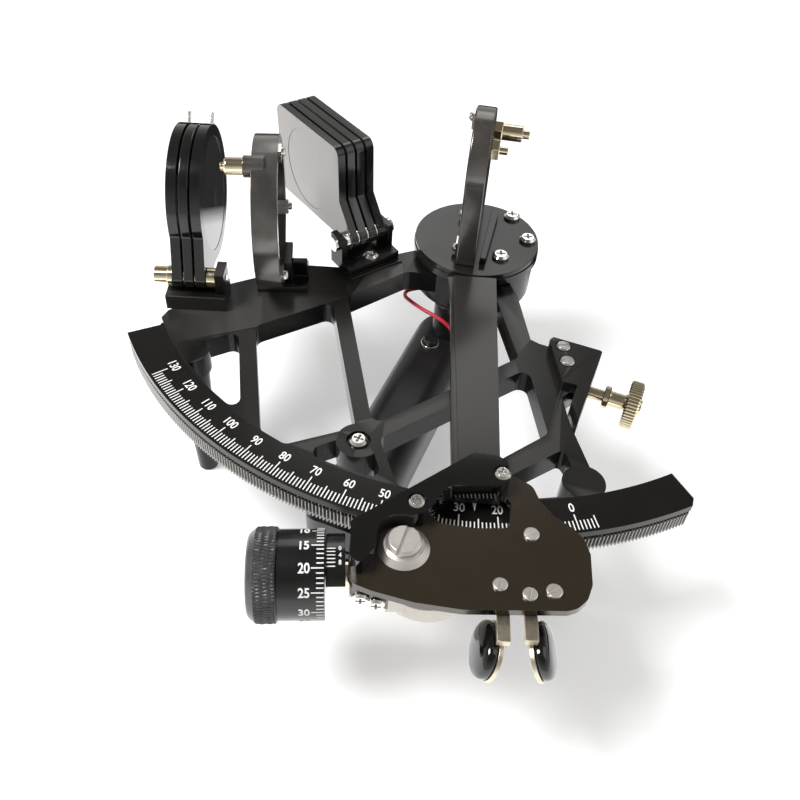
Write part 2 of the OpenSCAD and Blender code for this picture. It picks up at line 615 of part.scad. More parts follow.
terminals_at = end_pts([[-37.2, -27.9], [-32.2, -29.4]]);
base_screws_at = [[16.9, 18.6], [23.6, 0.8], [10.6, -13.9]];
cover_screws_at = end_pts([[7, 15.3], [-21.6, 0.9]]);
module mirror_base() color([0.08, 0.08, 0.08]) in_arm() difference() {
  union() {
    rod(disc_r - 0.4, base_z, mirror_z);
    rotate([0, 0, mirror_turn]) slab(mirror_z, mirror_z + 3.4)
      polygon([[3, -20], [5.6, -20], [8.2, 17], [5, 22]]);
  }
  for (p = base_screws_at) up(0) translate(p) cylinder(r = 1.55, h = 20);
}
module arm_screws() color([0.8, 0.8, 0.8]) in_arm() {
  for (p = base_screws_at) up(mirror_z) translate(p) cross_screw(3.8, 2.2, 1.5, 5);
  for (p = cover_screws_at) up(cover_top - 1.4) translate(p)
    cross_screw(2.9, 1.9, 1.5, cover_h + 1);
  for (p = terminals_at) up(1.2) translate(p) rotate([90, 0, 0]) cross_screw(2.8, 1.8, 1.2, 3);
}
// index mirror frame: +X is the mirror's normal on its back, Y lies in the plane
module in_im() in_arm() rotate([0, 0, mirror_turn]) up(mirror_z) children();
module im_shape(d, b) {
  translate([-(mirror_w / 2 - d), b]) square([mirror_w - 2 * d, mirror_h - mirror_w / 2 - b]);
  translate([0, mirror_h - mirror_w / 2]) circle(r = mirror_w / 2 - d);
}
module im_plate(d, b, x0, x1) translate([x0, 0, 0]) rotate([90, 0, 90]) linear_extrude(x1 - x0)
  im_shape(d, b);
im_back = 1;
module index_mirror_frame() color([0.08, 0.08, 0.08]) in_im() difference() {
  im_plate(0, fix, im_back - mirror_t, im_back);
  im_plate(3, 3, -20, im_back - 3);
}
module index_mirror() color([0.8, 0.82, 0.84]) in_im()
  im_plate(3 + fix, 3 + fix, im_back - 3 - glass_t, im_back - 3 - fix);
// spring clip: lies on the frame's front rim and on the glass, with its screw
module im_clip(y, z, turn) in_im() translate([im_back - mirror_t, y, z]) rotate([turn, 0, 0]) {
  translate([-1.02, -3, -5.4]) cube([1, 6, 7]);
  translate([-1.02, -2, -5.4]) cube([mirror_t - 3 - glass_t + 1, 4, 0.8]);
  translate([-1, 0, -1.2]) rotate([0, -90, 0]) cross_screw(1.8, 1.5, 0.5, 0.2);
}
module index_mirror_clips() color([0.8, 0.8, 0.8]) {
  im_clip(0, mirror_h - 1.5, 0);
  im_clip(-14, 1.8, 180);
  im_clip(14, 1.8, 180);
}
module index_mirror_adjusters() color([0.78, 0.68, 0.42]) in_im() {
  translate([im_back + fix, -8, mirror_h - 12]) rotate([0, 90, 0]) {
    cylinder(r = 4.6, h = 3.4, $fn = 6);
    translate([0, 0, 3.4]) cylinder(r = 1.6, h = 3.6);
  }
  translate([im_back + fix, 5, mirror_h - 10.5]) rotate([0, 90, 0]) {
    cylinder(r = 4.6, h = 3.4, $fn = 6);
    translate([0, 0, 3.4]) cylinder(r = 3.4, h = 8.6);
    translate([0, 0, 12]) cylinder(r = 1.8, h = 3);
  }
}

plate_pts = end_pts([[-9, 22.5], [9, 22.5], [12.1, 19.9], [18.3, 16.3], [20.5, 10.2], [25, 4.1],
  [30.2, 0.1], [34, -3.9], [35.8, -10], [35.3, -21.6], [33.3, -27.1], [30, -30.3], [27, -31.5],
  [-5.8, -33.8], [-20.6, -32.6], [-34.2, -29.6], [-40.1, -27.5], [-41.9, -25], [-42.3, -8.9]]);
plate_window = end_pts([[-16.5, 1], [-12, 10], [8.6, 11], [10.5, 8], [9.5, -2.2], [-1, -3.2],
  [-13, -2.4]]);
plate_screws_at = end_pts([[16.8, -4.3], [22.9, -25.2]]);
module end_plate() color([0.1, 0.095, 0.085]) in_arm() difference() {
  union() {
    slab(plate_z, plate_top) difference() {
      polygon(rounded(plate_pts, 5));
      polygon(rounded(plate_window, 2));
    }
    slab(-3.4, plate_z) polygon(end_pts([[-41, -24.4], [-28.5, -26.4], [-28.5, -29.2], [-34.2, -27.6],
      [-40.4, -25.6]]));
  }
  up(0) translate(swing_c) cylinder(r = 5.05, h = 20);
  for (p = [lever_l_at, lever_r_at]) up(0) translate(p) cylinder(r = 2.05, h = 20);
  for (p = plate_screws_at) up(0) translate(p) cylinder(r = 1.55, h = 20);
  for (p = cover_screws_at) up(0) translate(p) cylinder(r = 1.55, h = 20);
  for (p = terminals_at) up(1.2) translate(p) rotate([90, 0, 0]) translate([0, 0, -8])
    cylinder(r = 1.25, h = 12);
}
cover_pts = end_pts([[9, 20.4], [5.7, 22.8], [-2.6, 23.6], [-42.3, -8.9], [-41.3, -22.4], [-37.8, -24.8],
  [-33.8, -18.2], [-32.9, -9.9], [-30, -7.2], [-19.2, -3.8], [-16.9, -1.7], [-12.4, 6.7], [-10, 8.5],
  [6.2, 9.6], [9.6, 13]]);
module arm_cover() color([0.1, 0.1, 0.1]) in_arm() difference() {
  slab(plate_top, cover_top) polygon(rounded(cover_pts, 2));
  up(0) translate(swing_c) cylinder(r = 8.9, h = 30);
  for (p = cover_screws_at) {
    up(0) translate(p) cylinder(r = 1.55, h = 30);
    up(cover_top - 1.4) translate(p) cylinder(r = 3.2, h = 9);
  }
}
module plate_screws() color([0.75, 0.75, 0.75]) in_arm() {
  for (p = plate_screws_at) up(plate_top) translate(p) slot_screw(2.6, 1, 1.5, 3, 35);
  for (p = [lever_l_at, lever_r_at]) up(plate_top) translate(p) slot_screw(2.4, 1, 2, 7.6, 80);
}
module carriage_pivot_screw() color([0.85, 0.85, 0.83]) in_arm() up(plate_top) translate(swing_c) {
  cylinder(r1 = 8.6, r2 = 6.6, h = 2.2);
  translate([0, 0, 2.2]) slot_screw(5.9, 3, 4.9, 0.1, 75);
  translate([0, 0, -11.6]) cylinder(r = 5, h = 11.8);
}

// Worm carriage: swings about the pivot screw and carries the worm in its bush.
module worm_carriage() color([0.8, 0.78, 0.7]) difference() {
  union() {
    in_worm() {
      translate([-48, -10.6, -7]) cube([63, 21, 30]);
      wrod(tube_r + 2.6, 40, 60);
    }
    in_arm() slab(-20, -12.3) translate([-16, -5.3 - arc_r_out]) circle(r = 18);
  }
  up(-11.9) cylinder(r = arc_r_out + 1.6, h = 40);
  in_worm() {
    translate([-9.6, -11.5, -9.6]) cube([19.2, 30, 19.2]);
    wrod(tube_r + fix, -20, 80);
  }
  in_arm() up(-3.8) translate(swing_c) cylinder(r = 5.05, h = 60);
  in_arm() slab(lever_z - 0.5, 30) difference() {
    square([400, 500], center = true);
    translate(swing_c) circle(r = 9);
  }
  in_arm() slab(plate_z - 0.25, 40) square([400, 500], center = true);
}
module worm_bush() color([0.78, 0.66, 0.36]) in_worm() difference() {
  union() {
    wrod(tube_r, 9.9, 67.5);
    wrod(tube_r, -15, -9.9);
  }
  wrod(shaft_r + shaft_clear, -16, 80);
}
module vernier_sleeve() color([0.08, 0.08, 0.08]) in_worm() difference() {
  intersection() {
    wrod(vernier_r, 61.2, 67.6);
    rotate([-46, 0, 0]) translate([-70, -40, -1.5]) cube([20, 80, 40]);
  }
  wrod(vernier_r - 2.4, 63.4, 80);
  wrod(tube_r + fix, 40, 80);
}
// thread profile points: distance from the axis and offset along it
thread_tip = pitch - tooth_tip - 2 * mesh * flank - 2 * flank_clear;
thread_in = tooth_d + 0.3;
thread = [[worm_r - thread_in, -thread_tip / 2 - thread_in * flank], [worm_r, -thread_tip / 2],
  [worm_r, thread_tip / 2], [worm_r - thread_in, thread_tip / 2 + thread_in * flank]];
turns = 7.5;
steps = 36;
rings = turns * steps;
worm_phase = 0;
function ring_pt(i, k) = let (a = 360 * (i / steps - turns / 2) + worm_phase)
  [pitch * (i / steps - turns / 2) + thread[k][1], thread[k][0] * cos(a), thread[k][0] * sin(a)];
module thread_body() polyhedron(convexity = 10,
  points = [for (i = [0:rings], k = [0:3]) ring_pt(i, k)],
  faces = concat([[3, 2, 1, 0]],
    [for (i = [0:rings - 1], k = [0:3]) [i * 4 + k, i * 4 + (k + 1) % 4,
      (i + 1) * 4 + (k + 1) % 4, (i + 1) * 4 + k]],
    [[for (k = [0:3]) rings * 4 + k]]));
module worm() color([0.8, 0.78, 0.7]) in_worm() {
  wrod(worm_r - tooth_d, -7.4, 7.4);
  thread_body();
  wrod(shaft_r, -14, 80);
}
module micrometer_drum() color([0.06, 0.06, 0.06]) in_worm() difference() {
  union() {
    wrod(drum_r, 67.9, 67.9 + drum_l);
    wrod(knurl_r, 67.9 + drum_l, 67.9 + drum_l + knurl_l - 3);
    translate([-67.9 - drum_l - knurl_l, 0, 0]) rotate([0, 90, 0])
      cylinder(r1 = knurl_r - 2.4, r2 = knurl_r, h = 3);
  }
  wrod(drum_r - 2, 67, 67.9 + drum_l - 3);
  wrod(shaft_r + fix, 60, 80 + fix);
}
// Release levers under the end plate, each on its own upright pin. A neck leads down
// to an oval plate, and the pad lies on the plate's outer side.
pad_l_at = [3.8, -38.6 - arc_r_out, -7];
pad_r_at = [20.2, -37.6 - arc_r_out, -7];
lean_l = pad_lean - 5;
module in_pad(q, side, lean) in_arm() translate([q[0], q[1], scale_h + q[2]])
  rotate([0, side * lean, 0]) rotate([0, -side * 90, 0]) children();
module oval(grow) {
  translate([0, (pad_l - pad_w) / 2]) circle(r = pad_w / 2 + grow);
  translate([0, -(pad_l - pad_w) / 2]) circle(r = pad_w / 2 + grow);
  square([pad_w + 2 * grow, pad_l - pad_w], center = true);
}
module lever(p, q, side, lean) {
  rise = lever_z + 1.2 - q[2];
  inner = q[0] + side * (rise * tan(lean) + 1.75);
  in_arm() slab(lever_z, plate_z - 0.25) difference() {
    union() {
      translate(p) circle(r = 4);
      translate([min(inner, inner - side * 4.2), q[1] - 3]) square([4.2, p[1] - q[1] + 3]);
    }
    translate(p) circle(r = 2.05);
  }
  in_pad(q, side, lean) translate([0, 0, -lever_t - fix]) linear_extrude(lever_t) {
    oval(0.3);
    translate([side > 0 ? 0 : -rise / cos(lean), -2]) square([rise / cos(lean), 8]);
  }
}
module release_lever_left() color([0.75, 0.7, 0.6]) lever(lever_l_at, pad_l_at, 1, lean_l);
module release_lever_right() color([0.75, 0.7, 0.6]) lever(lever_r_at, pad_r_at, -1, pad_lean);
module pad(q, side, lean) in_pad(q, side, lean) linear_extrude(pad_t) oval(0);
module release_pad_left() color([0.03, 0.03, 0.03]) pad(pad_l_at, 1, lean_l);
module release_pad_right() color([0.03, 0.03, 0.03]) pad(pad_r_at, -1, pad_lean);

frame();
graduated_arc();
pivot_bush();
pivot_leg();
arc_legs();
handle_grip();
handle_posts();
battery_cap();
lamp_lead();
switch_ring();
light_switch();
horizon_mirror_bracket();
horizon_mirror_frame();
horizon_mirror();
horizon_mirror_clips();
horizon_mirror_adjusters();
horizon_shade_block();
horizon_shade_pin();
horizon_shade_1();
horizon_shade_2();
horizon_shade_3();
horizon_shade_glass_1();
horizon_shade_glass_2();
horizon_shade_glass_3();
shade_pull_1();
shade_pull_3();
index_shade_block();
index_shade_pin();
index_shade_1();
index_shade_2();
index_shade_3();
index_shade_4();
index_shade_glass_1();
index_shade_glass_2();
index_shade_glass_3();
index_shade_glass_4();
frame_screws();
telescope_bracket();
telescope_thumbscrew();
index_arm();
pivot_spindle();
mirror_base();
arm_screws();
index_mirror_frame();
index_mirror();
index_mirror_clips();
index_mirror_adjusters();
end_plate();
arm_cover();
plate_screws();
carriage_pivot_screw();
worm_carriage();
worm_bush();
vernier_sleeve();
worm();
micrometer_drum();
release_lever_left();
release_lever_right();
release_pad_left();
release_pad_right();
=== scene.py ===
"""Marine sextant with a micrometer drum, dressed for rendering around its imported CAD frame.

All sizes in the classes below are millimetres in the CAD's own frames: the origin is the foot of
the leg under the pivot, Z points up, the arc lies towards -Y and its face is at Z = 72.
"""

import json
import logging
import math
from collections.abc import Callable, Sequence
from dataclasses import dataclass
from enum import Enum

import bmesh
import bpy
import numpy as np
from mathutils import Matrix

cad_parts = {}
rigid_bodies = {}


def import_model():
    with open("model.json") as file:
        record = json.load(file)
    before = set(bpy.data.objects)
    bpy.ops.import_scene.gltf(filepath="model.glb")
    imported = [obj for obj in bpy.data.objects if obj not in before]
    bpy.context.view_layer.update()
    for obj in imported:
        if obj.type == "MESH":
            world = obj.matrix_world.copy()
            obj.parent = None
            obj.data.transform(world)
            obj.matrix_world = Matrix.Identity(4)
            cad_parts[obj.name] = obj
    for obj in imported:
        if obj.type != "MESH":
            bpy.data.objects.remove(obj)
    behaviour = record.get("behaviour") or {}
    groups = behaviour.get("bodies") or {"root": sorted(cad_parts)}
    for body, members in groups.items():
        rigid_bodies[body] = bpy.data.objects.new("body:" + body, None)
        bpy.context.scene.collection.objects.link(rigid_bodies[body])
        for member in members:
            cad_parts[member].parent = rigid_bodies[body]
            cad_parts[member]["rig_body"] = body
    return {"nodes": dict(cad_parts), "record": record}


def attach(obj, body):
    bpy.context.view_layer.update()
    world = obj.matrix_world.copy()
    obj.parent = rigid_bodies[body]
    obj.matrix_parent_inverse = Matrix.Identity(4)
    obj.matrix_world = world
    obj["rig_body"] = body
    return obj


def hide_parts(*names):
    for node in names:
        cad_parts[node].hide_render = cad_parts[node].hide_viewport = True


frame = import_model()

log = logging.getLogger("sextant")

MM = 0.001
SCALE_Z = 72.0
ARM_TURN = 18.625
WORM_TURN = 5.87
WORM_MIDDLE = (0.0, -170.0, -9.5)

Tree = bpy.types.NodeTree
Socket = bpy.types.NodeSocket
Triple = tuple[float, float, float]
Surface = tuple[np.ndarray, np.ndarray]


class Shown(Enum):
    """Which faces of a rimmed finish take its second colour: unpainted metal, painted reflection."""

    STEEP = "steep"
    RIM = "rim"
    FACING = "facing"


@dataclass(frozen=True)
class Place:
    """A local frame: a turn about Z, then a shift, both in millimetres of the CAD frame."""

    origin: Triple = (0.0, 0.0, 0.0)
    turn: float = 0.0

    def matrix(self) -> np.ndarray:
        """The 4 by 4 matrix from this local frame to the CAD frame.

        Returns:
            The matrix, in millimetres.
        """
        a = math.radians(self.turn)
        m = np.eye(4)
        m[:2, :2] = [[math.cos(a), -math.sin(a)], [math.sin(a), math.cos(a)]]
        m[:3, 3] = self.origin
        return m

    def inside(self, outer: "Place") -> "Place":
        """This frame when its origin and turn are given in another frame."""
        m = outer.matrix() @ self.matrix()
        return Place(tuple(m[:3, 3]), self.turn + outer.turn)

    def world(self, points: np.ndarray) -> np.ndarray:
        """Local millimetre points as metres in the CAD frame."""
        m = self.matrix()
        return (points @ m[:3, :3].T + m[:3, 3]) * MM


WORLD = Place()
ARC_FACE = Place((0.0, 0.0, SCALE_Z))
ARM = Place((0.0, 0.0, SCALE_Z), ARM_TURN)
WORM = Place(WORM_MIDDLE).inside(Place(ARM.origin, ARM_TURN + WORM_TURN))


# Shader nodes


def wire(tree: Tree, node: bpy.types.Node, inputs: dict[str | int, object]) -> None:
    """Sets or links inputs of a node.

    Args:
        tree: Node tree of the node.
        node: The node.
        inputs: A value or a socket for each input, by its name or number.
    """
    for key, value in inputs.items():
        if isinstance(value, Socket):
            tree.links.new(value, node.inputs[key])
        else:
            node.inputs[key].default_value = value


def add_node(tree: Tree, kind: str, inputs: dict[str | int, object] | None = None,
             operation: str = "") -> bpy.types.Node:
    """A new shader node.

    Args:
        tree: Node tree that gets the node.
        kind: Its type, without the words at the start that all types share.
        inputs: A value or a socket for each input that is not left as it is.
        operation: What a maths node works out.

    Returns:
        The node.
    """
    node = tree.nodes.new("ShaderNode" + kind)
    if operation:
        node.operation = operation
    wire(tree, node, inputs or {})
    return node


def maths(tree: Tree, operation: str, *values: Socket | float) -> Socket:
    """The result of a maths node with one to three values or sockets."""
    return add_node(tree, "Math", dict(enumerate(values)), operation).outputs[0]


def principled(tree: Tree) -> bpy.types.Node:
    """The Principled shader of a material's node tree."""
    return next(n for n in tree.nodes if n.type == "BSDF_PRINCIPLED")


def blend(tree: Tree, factor: Socket, first: Socket | Triple, second: Socket | Triple) -> Socket:
    """Mixes two colours.

    Args:
        tree: Node tree that gets the node.
        factor: Socket with the share of the second colour.
        first: Colour or socket at factor 0.
        second: Colour or socket at factor 1.

    Returns:
        The socket with the mixed colour.
    """
    mix = tree.nodes.new("ShaderNodeMix")
    mix.data_type = "RGBA"
    tree.links.new(factor, mix.inputs["Factor"])
    for name, value in (("A", first), ("B", second)):
        socket = next(s for s in mix.inputs if s.name == name and s.type == "RGBA")
        if isinstance(value, Socket):
            tree.links.new(value, socket)
        else:
            socket.default_value = (*value, 1.0)
    return next(s for s in mix.outputs if s.type == "RGBA")


def spread(tree: Tree, source: Socket, low: float, high: float, start: float = 0.35,
           end: float = 0.65) -> Socket:
    """Maps a value from one band to another, by default from the usual band of a noise.

    Args:
        tree: Node tree that gets the node.
        source: Socket with the value.
        low: Result at start.
        high: Result at end.
        start: Value that gives low.
        end: Value that gives high.

    Returns:
        The socket with the mapped value.
    """
    inputs = {"Value": source, "From Min": start, "From Max": end, "To Min": low, "To Max": high}
    return add_node(tree, "MapRange", inputs).outputs["Result"]


# Finishes

WHITE = (1.0, 1.0, 1.0, 1.0)
NOISE_DETAIL = 3.0
PATCHES_TO_GRAIN = 14.0
BUMP_STRENGTH = 0.6
COAT_ROUGHNESS = 0.08
PALE_EDGE_COLOUR = (0.34, 0.33, 0.31)
PALE_EDGE_POINTINESS = (0.52, 0.6)
STEEP_LIMIT = 0.5
FACING_LIMIT = 0.97


@dataclass(frozen=True)
class Finish:
    """A procedural finish with fine grain in its colour, roughness and surface.

    Attributes:
        name: Name of the Blender material.
        colour: Main linear colour.
        second: Colour that the grain mixes in.
        metallic: Metalness from 0 to 1.
        roughness: Lowest and highest roughness that the grain reaches.
        grain: Size of the grain in millimetres.
        bump: Height of the grain in millimetres.
        coat: Weight of a clear coat.
        wear: Share of the lighter colour that shows along convex edges.
        specular: Strength of the gloss of a surface that is no metal.
    """

    name: str
    colour: Triple
    second: Triple
    metallic: float = 0.0
    roughness: tuple[float, float] = (0.3, 0.5)
    grain: float = 1.0
    bump: float = 0.01
    coat: float = 0.0
    wear: float = 0.0
    specular: float = 0.5

    def start(self) -> tuple[bpy.types.Material, Tree, bpy.types.Node]:
        """An empty material with a Principled shader wired to its output.

        Returns:
            The material, its node tree and the shader node.
        """
        material = bpy.data.materials.new(self.name)
        material.use_nodes = True
        tree = material.node_tree
        tree.nodes.clear()
        shader = add_node(tree, "BsdfPrincipled", {
            "Metallic": self.metallic, "Coat Weight": self.coat, "Coat Roughness": COAT_ROUGHNESS,
            "Specular IOR Level": self.specular})
        add_node(tree, "OutputMaterial", {"Surface": shader.outputs["BSDF"]})
        return material, tree, shader

    def noise(self, tree: Tree, size: float) -> Socket:
        """Noise on the piece's own coordinates.

        Args:
            tree: Node tree that gets the nodes.
            size: Size of a grain in millimetres.

        Returns:
            The socket with the noise.
        """
        place = add_node(tree, "TexCoord").outputs["Object"]
        inputs = {"Vector": place, "Scale": 1.0 / (size * MM), "Detail": NOISE_DETAIL}
        return add_node(tree, "TexNoise", inputs).outputs["Fac"]

    def colour_socket(self, tree: Tree) -> Socket:
        """The grained colour, lighter along convex edges where the finish asks for it.

        Args:
            tree: Node tree that gets the nodes.

        Returns:
            The socket with the colour.
        """
        patches = self.noise(tree, self.grain * PATCHES_TO_GRAIN)
        colour = blend(tree, spread(tree, patches, 0.0, 1.0), self.colour, self.second)
        # Paler colour along convex edges, from the mesh's pointiness.
        if self.wear > 0:
            convex = add_node(tree, "NewGeometry").outputs["Pointiness"]
            edge = spread(tree, convex, 0.0, self.wear, *PALE_EDGE_POINTINESS)
            colour = blend(tree, edge, colour, PALE_EDGE_COLOUR)
        return colour

    def make(self) -> bpy.types.Material:
        """Builds the material.

        Returns:
            The finished material.
        """
        material, tree, shader = self.start()
        fine = self.noise(tree, self.grain)
        bump = add_node(tree, "Bump", {
            "Strength": BUMP_STRENGTH, "Distance": self.bump * MM, "Height": fine})
        wire(tree, shader, {"Base Color": self.colour_socket(tree),
                            "Roughness": spread(tree, fine, *self.roughness),
                            "Normal": bump.outputs["Normal"]})
        return material


@dataclass(frozen=True)
class RimmedFinish(Finish):
    """Enamel with faces in a second colour: unpainted metal on rims and edges, a painted reflection on a
    face.

    Attributes:
        metal: Colour of the unpainted metal faces, and of the painted reflection on faces that point one
            way.
        bare_metallic: Metalness of the unpainted metal and of the painted reflection.
        shown: Which faces take the second colour.
        rim_radius: Radius in millimetres past which a rim shows unpainted metal.
        rim_top: Height in millimetres below which it shows unpainted metal.
        facing: Direction of the faces that get the painted reflection.
    """

    metal: Triple = (0.5, 0.5, 0.5)
    bare_metallic: float = 1.0
    shown: Shown = Shown.STEEP
    rim_radius: float = 0.0
    rim_top: float = 0.0
    facing: Triple = (0.0, 0.0, 1.0)

    def bare(self, tree: Tree) -> Socket:
        """A value that is 1 on the faces in the second colour and 0 on enamel.

        A rim shows unpainted metal where its distance from the Z axis is over a radius and its height is
        under a top. Faces that point one way get the painted reflection where their normal times a
        direction is near 1, and steep faces show unpainted metal where their normal's height is small.

        Args:
            tree: Node tree that gets the nodes.

        Returns:
            The socket with the value.
        """
        if self.shown is Shown.RIM:
            place = add_node(tree, "TexCoord").outputs["Object"]
            split = add_node(tree, "SeparateXYZ", {"Vector": place}).outputs
            flat = add_node(tree, "CombineXYZ", {"X": split["X"], "Y": split["Y"]}).outputs["Vector"]
            length = add_node(tree, "VectorMath", {0: flat}, "LENGTH").outputs["Value"]
            outside = maths(tree, "GREATER_THAN", length, self.rim_radius * MM)
            below = maths(tree, "LESS_THAN", split["Z"], self.rim_top * MM)
            return maths(tree, "MULTIPLY", outside, below)
        normal = add_node(tree, "NewGeometry").outputs["Normal"]
        # Painted reflection: faces whose normal points along the given direction take the pale second
        # colour.
        if self.shown is Shown.FACING:
            dot = add_node(tree, "VectorMath", {0: normal, 1: self.facing}, "DOT_PRODUCT")
            return maths(tree, "GREATER_THAN", dot.outputs["Value"], FACING_LIMIT)
        height = add_node(tree, "SeparateXYZ", {"Vector": normal}).outputs["Z"]
        return maths(tree, "LESS_THAN", maths(tree, "ABSOLUTE", height), STEEP_LIMIT)

    def make(self) -> bpy.types.Material:
        """Builds the material.

        Returns:
            The finished material.
        """
        material = super().make()
        tree = material.node_tree
        shader = principled(tree)
        bare = self.bare(tree)
        enamel = shader.inputs["Base Color"].links[0].from_socket
        wire(tree, shader, {
            "Base Color": blend(tree, bare, enamel, self.metal),
            "Metallic": spread(tree, bare, self.metallic, self.bare_metallic, 0.0, 1.0)})
        return material


@dataclass(frozen=True)
class GlassFinish(Finish):
    """Tinted glass of a shade: polished, see-through and darker than clear glass.

    Attributes:
        clear: Share of the light that goes through the surface.
        polish: Roughness of the surface.
        index: Index of refraction.
    """

    clear: float = 0.85
    polish: float = 0.03
    index: float = 1.52

    def make(self) -> bpy.types.Material:
        """Builds the material.

        Returns:
            The finished material.
        """
        material, tree, shader = self.start()
        wire(tree, shader, {"Base Color": self.colour_socket(tree), "Roughness": self.polish,
                            "IOR": self.index, "Transmission Weight": self.clear})
        return material


ENAMEL = Finish("frame_enamel", (0.0058, 0.0055, 0.0053), (0.007, 0.0066, 0.0064), roughness=(0.2, 0.23),
                grain=0.6, bump=0.0006, wear=0.1, specular=0.2)
ARM_ENAMEL = Finish("arm_enamel", (0.0075, 0.0067, 0.0061), (0.0088, 0.008, 0.0072), roughness=(0.17, 0.2),
                    grain=0.6, bump=0.0005, wear=0.08, specular=0.32)
ARC_FINISH = RimmedFinish("arc_enamel_and_rim", (0.0068, 0.0062, 0.0056), (0.0082, 0.0074, 0.0067),
                          roughness=(0.2, 0.24), grain=0.6, bump=0.0005, shown=Shown.RIM, rim_radius=160.9,
                          metal=(0.26, 0.255, 0.245), rim_top=67.6, specular=0.32)
PLATE_FINISH = RimmedFinish("plate_enamel", (0.0195, 0.0142, 0.0078), (0.0215, 0.0157, 0.009),
                            roughness=(0.2, 0.24), grain=0.5, bump=0.0005, coat=0.1, specular=0.4,
                            metal=(0.1, 0.092, 0.085))
COVER = Finish("cover_gloss", (0.0035, 0.0034, 0.0033), (0.005, 0.0048, 0.0047), roughness=(0.05, 0.08),
               grain=0.8, bump=0.001, coat=0.3)
SHADE_ENAMEL = Finish("shade_enamel", (0.006, 0.006, 0.006), (0.0085, 0.0085, 0.0085),
                      roughness=(0.08, 0.11), grain=0.6, bump=0.0006, wear=0.12)
# Painted reflection: the first index shade's outer face is pale grey, standing in for the white floor it
# reflects; the other shades stay black.
SHADE_WITH_PAINTED_REFLECTION = RimmedFinish("shade_face_painted_reflection", (0.006, 0.006, 0.006), (0.0085, 0.0085, 0.0085),
                          roughness=(0.14, 0.2), grain=0.6, bump=0.001, metal=(0.28, 0.265, 0.255),
                          bare_metallic=0.2, shown=Shown.FACING, facing=(-0.5592, -0.829, 0.0))
# Half-silvered horizon glass with a painted reflection: it is only partly metallic and pale grey, standing
# in for the light surroundings it reflects.
HALF_SILVERED_WITH_PAINTED_REFLECTION = Finish("half_silvered_glass_painted_reflection", (0.56, 0.55, 0.54), (0.6, 0.59, 0.58), metallic=0.45,
                       roughness=(0.04, 0.06), grain=2.0, bump=0.0003)
# Painted reflection: the first index shade's glass is pale grey and partly metallic, standing in for the
# white floor it reflects.
GLASS_WITH_PAINTED_REFLECTION = Finish("glass_face_painted_reflection", (0.27, 0.256, 0.246), (0.3, 0.284, 0.274), metallic=0.2,
                    roughness=(0.1, 0.16), grain=2.0, bump=0.0005)
SHADE_GLASS = GlassFinish("neutral_shade_glass", (0.2, 0.205, 0.205), (0.22, 0.225, 0.225))
MIRROR = Finish("silvered_glass", (0.86, 0.88, 0.89), (0.84, 0.86, 0.87), metallic=1.0,
                roughness=(0.02, 0.03), grain=6.0, bump=0.0002)
CHROME = Finish("bright_chrome", (0.84, 0.82, 0.79), (0.66, 0.64, 0.61), metallic=1.0,
                roughness=(0.12, 0.2), grain=0.5, bump=0.004)
NICKEL = Finish("brushed_nickel", (0.84, 0.81, 0.76), (0.74, 0.7, 0.65), metallic=0.9,
                roughness=(0.3, 0.36), grain=0.4, bump=0.001)
LEVER_METAL = Finish("lever_metal", (0.66, 0.6, 0.47), (0.5, 0.45, 0.35), metallic=1.0,
                     roughness=(0.3, 0.36), grain=1.6, bump=0.001)
STEEL = Finish("turned_steel", (0.5, 0.49, 0.46), (0.44, 0.43, 0.4), metallic=1.0,
               roughness=(0.2, 0.28), grain=0.35, bump=0.002)
BRASS = Finish("pale_gold_brass", (0.8, 0.7, 0.5), (0.74, 0.64, 0.45), metallic=1.0,
               roughness=(0.1, 0.16), grain=0.5, bump=0.0012)
CREAM = Finish("cream_casting", (0.9, 0.86, 0.77), (0.84, 0.8, 0.71), roughness=(0.35, 0.45),
               grain=0.7, bump=0.006)
RING_ENAMEL = Finish("mirror_ring_lacquer", (0.085, 0.076, 0.07), (0.16, 0.152, 0.145), metallic=0.7,
                     roughness=(0.16, 0.22), grain=1.1, bump=0.003)
DRUM_BLACK = Finish("drum_anodising", (0.0065, 0.0065, 0.0065), (0.009, 0.009, 0.009),
                    roughness=(0.16, 0.22), grain=0.5, bump=0.001)
KNURL_BLACK = Finish("worn_knurl", (0.024, 0.024, 0.024), (0.05, 0.049, 0.048), roughness=(0.26, 0.38),
                     grain=0.5, bump=0.003)
GRIP = Finish("moulded_grip", (0.007, 0.007, 0.007), (0.009, 0.009, 0.009), roughness=(0.36, 0.46),
              grain=0.5, bump=0.006)
PAD = Finish("polished_pad", (0.0035, 0.0035, 0.0035), (0.005, 0.005, 0.005), roughness=(0.05, 0.08),
             grain=1.2, bump=0.0012, coat=0.5)
PAINT = Finish("white_filled_lines", (0.86, 0.86, 0.84), (0.8, 0.8, 0.78), roughness=(0.5, 0.6),
               grain=0.3, bump=0.001)
LEAD = Finish("red_lead", (0.62, 0.03, 0.05), (0.52, 0.02, 0.04), roughness=(0.35, 0.45),
              grain=0.6, bump=0.004)


class Paintbox:
    """Keeps one Blender material for each finish."""

    made: dict[str, bpy.types.Material] = {}

    @classmethod
    def get(cls, finish: Finish) -> bpy.types.Material:
        """The material of a finish, built at its first use.

        Args:
            finish: The finish.

        Returns:
            Its material.
        """
        if finish.name not in cls.made:
            cls.made[finish.name] = finish.make()
        return cls.made[finish.name]


# Surfaces

MERGE_NEW = 1e-6
MERGE_CAD = 3e-6
FLAT_ANGLE = 0.5
EDGE_ANGLE = 32.0


def ring_faces(rings: int, around: int) -> np.ndarray:
    """Quads between closed rings of points stored ring after ring.

    Args:
        rings: Number of rings.
        around: Number of points in a ring.

    Returns:
        An array of quads of point numbers.
    """
    i, j = (a.ravel() for a in np.meshgrid(np.arange(rings - 1), np.arange(around), indexing="ij"))
    here = i * around
    ahead = here + around
    beside = (j + 1) % around
    return np.stack([here + j, ahead + j, ahead + beside, here + beside], 1)


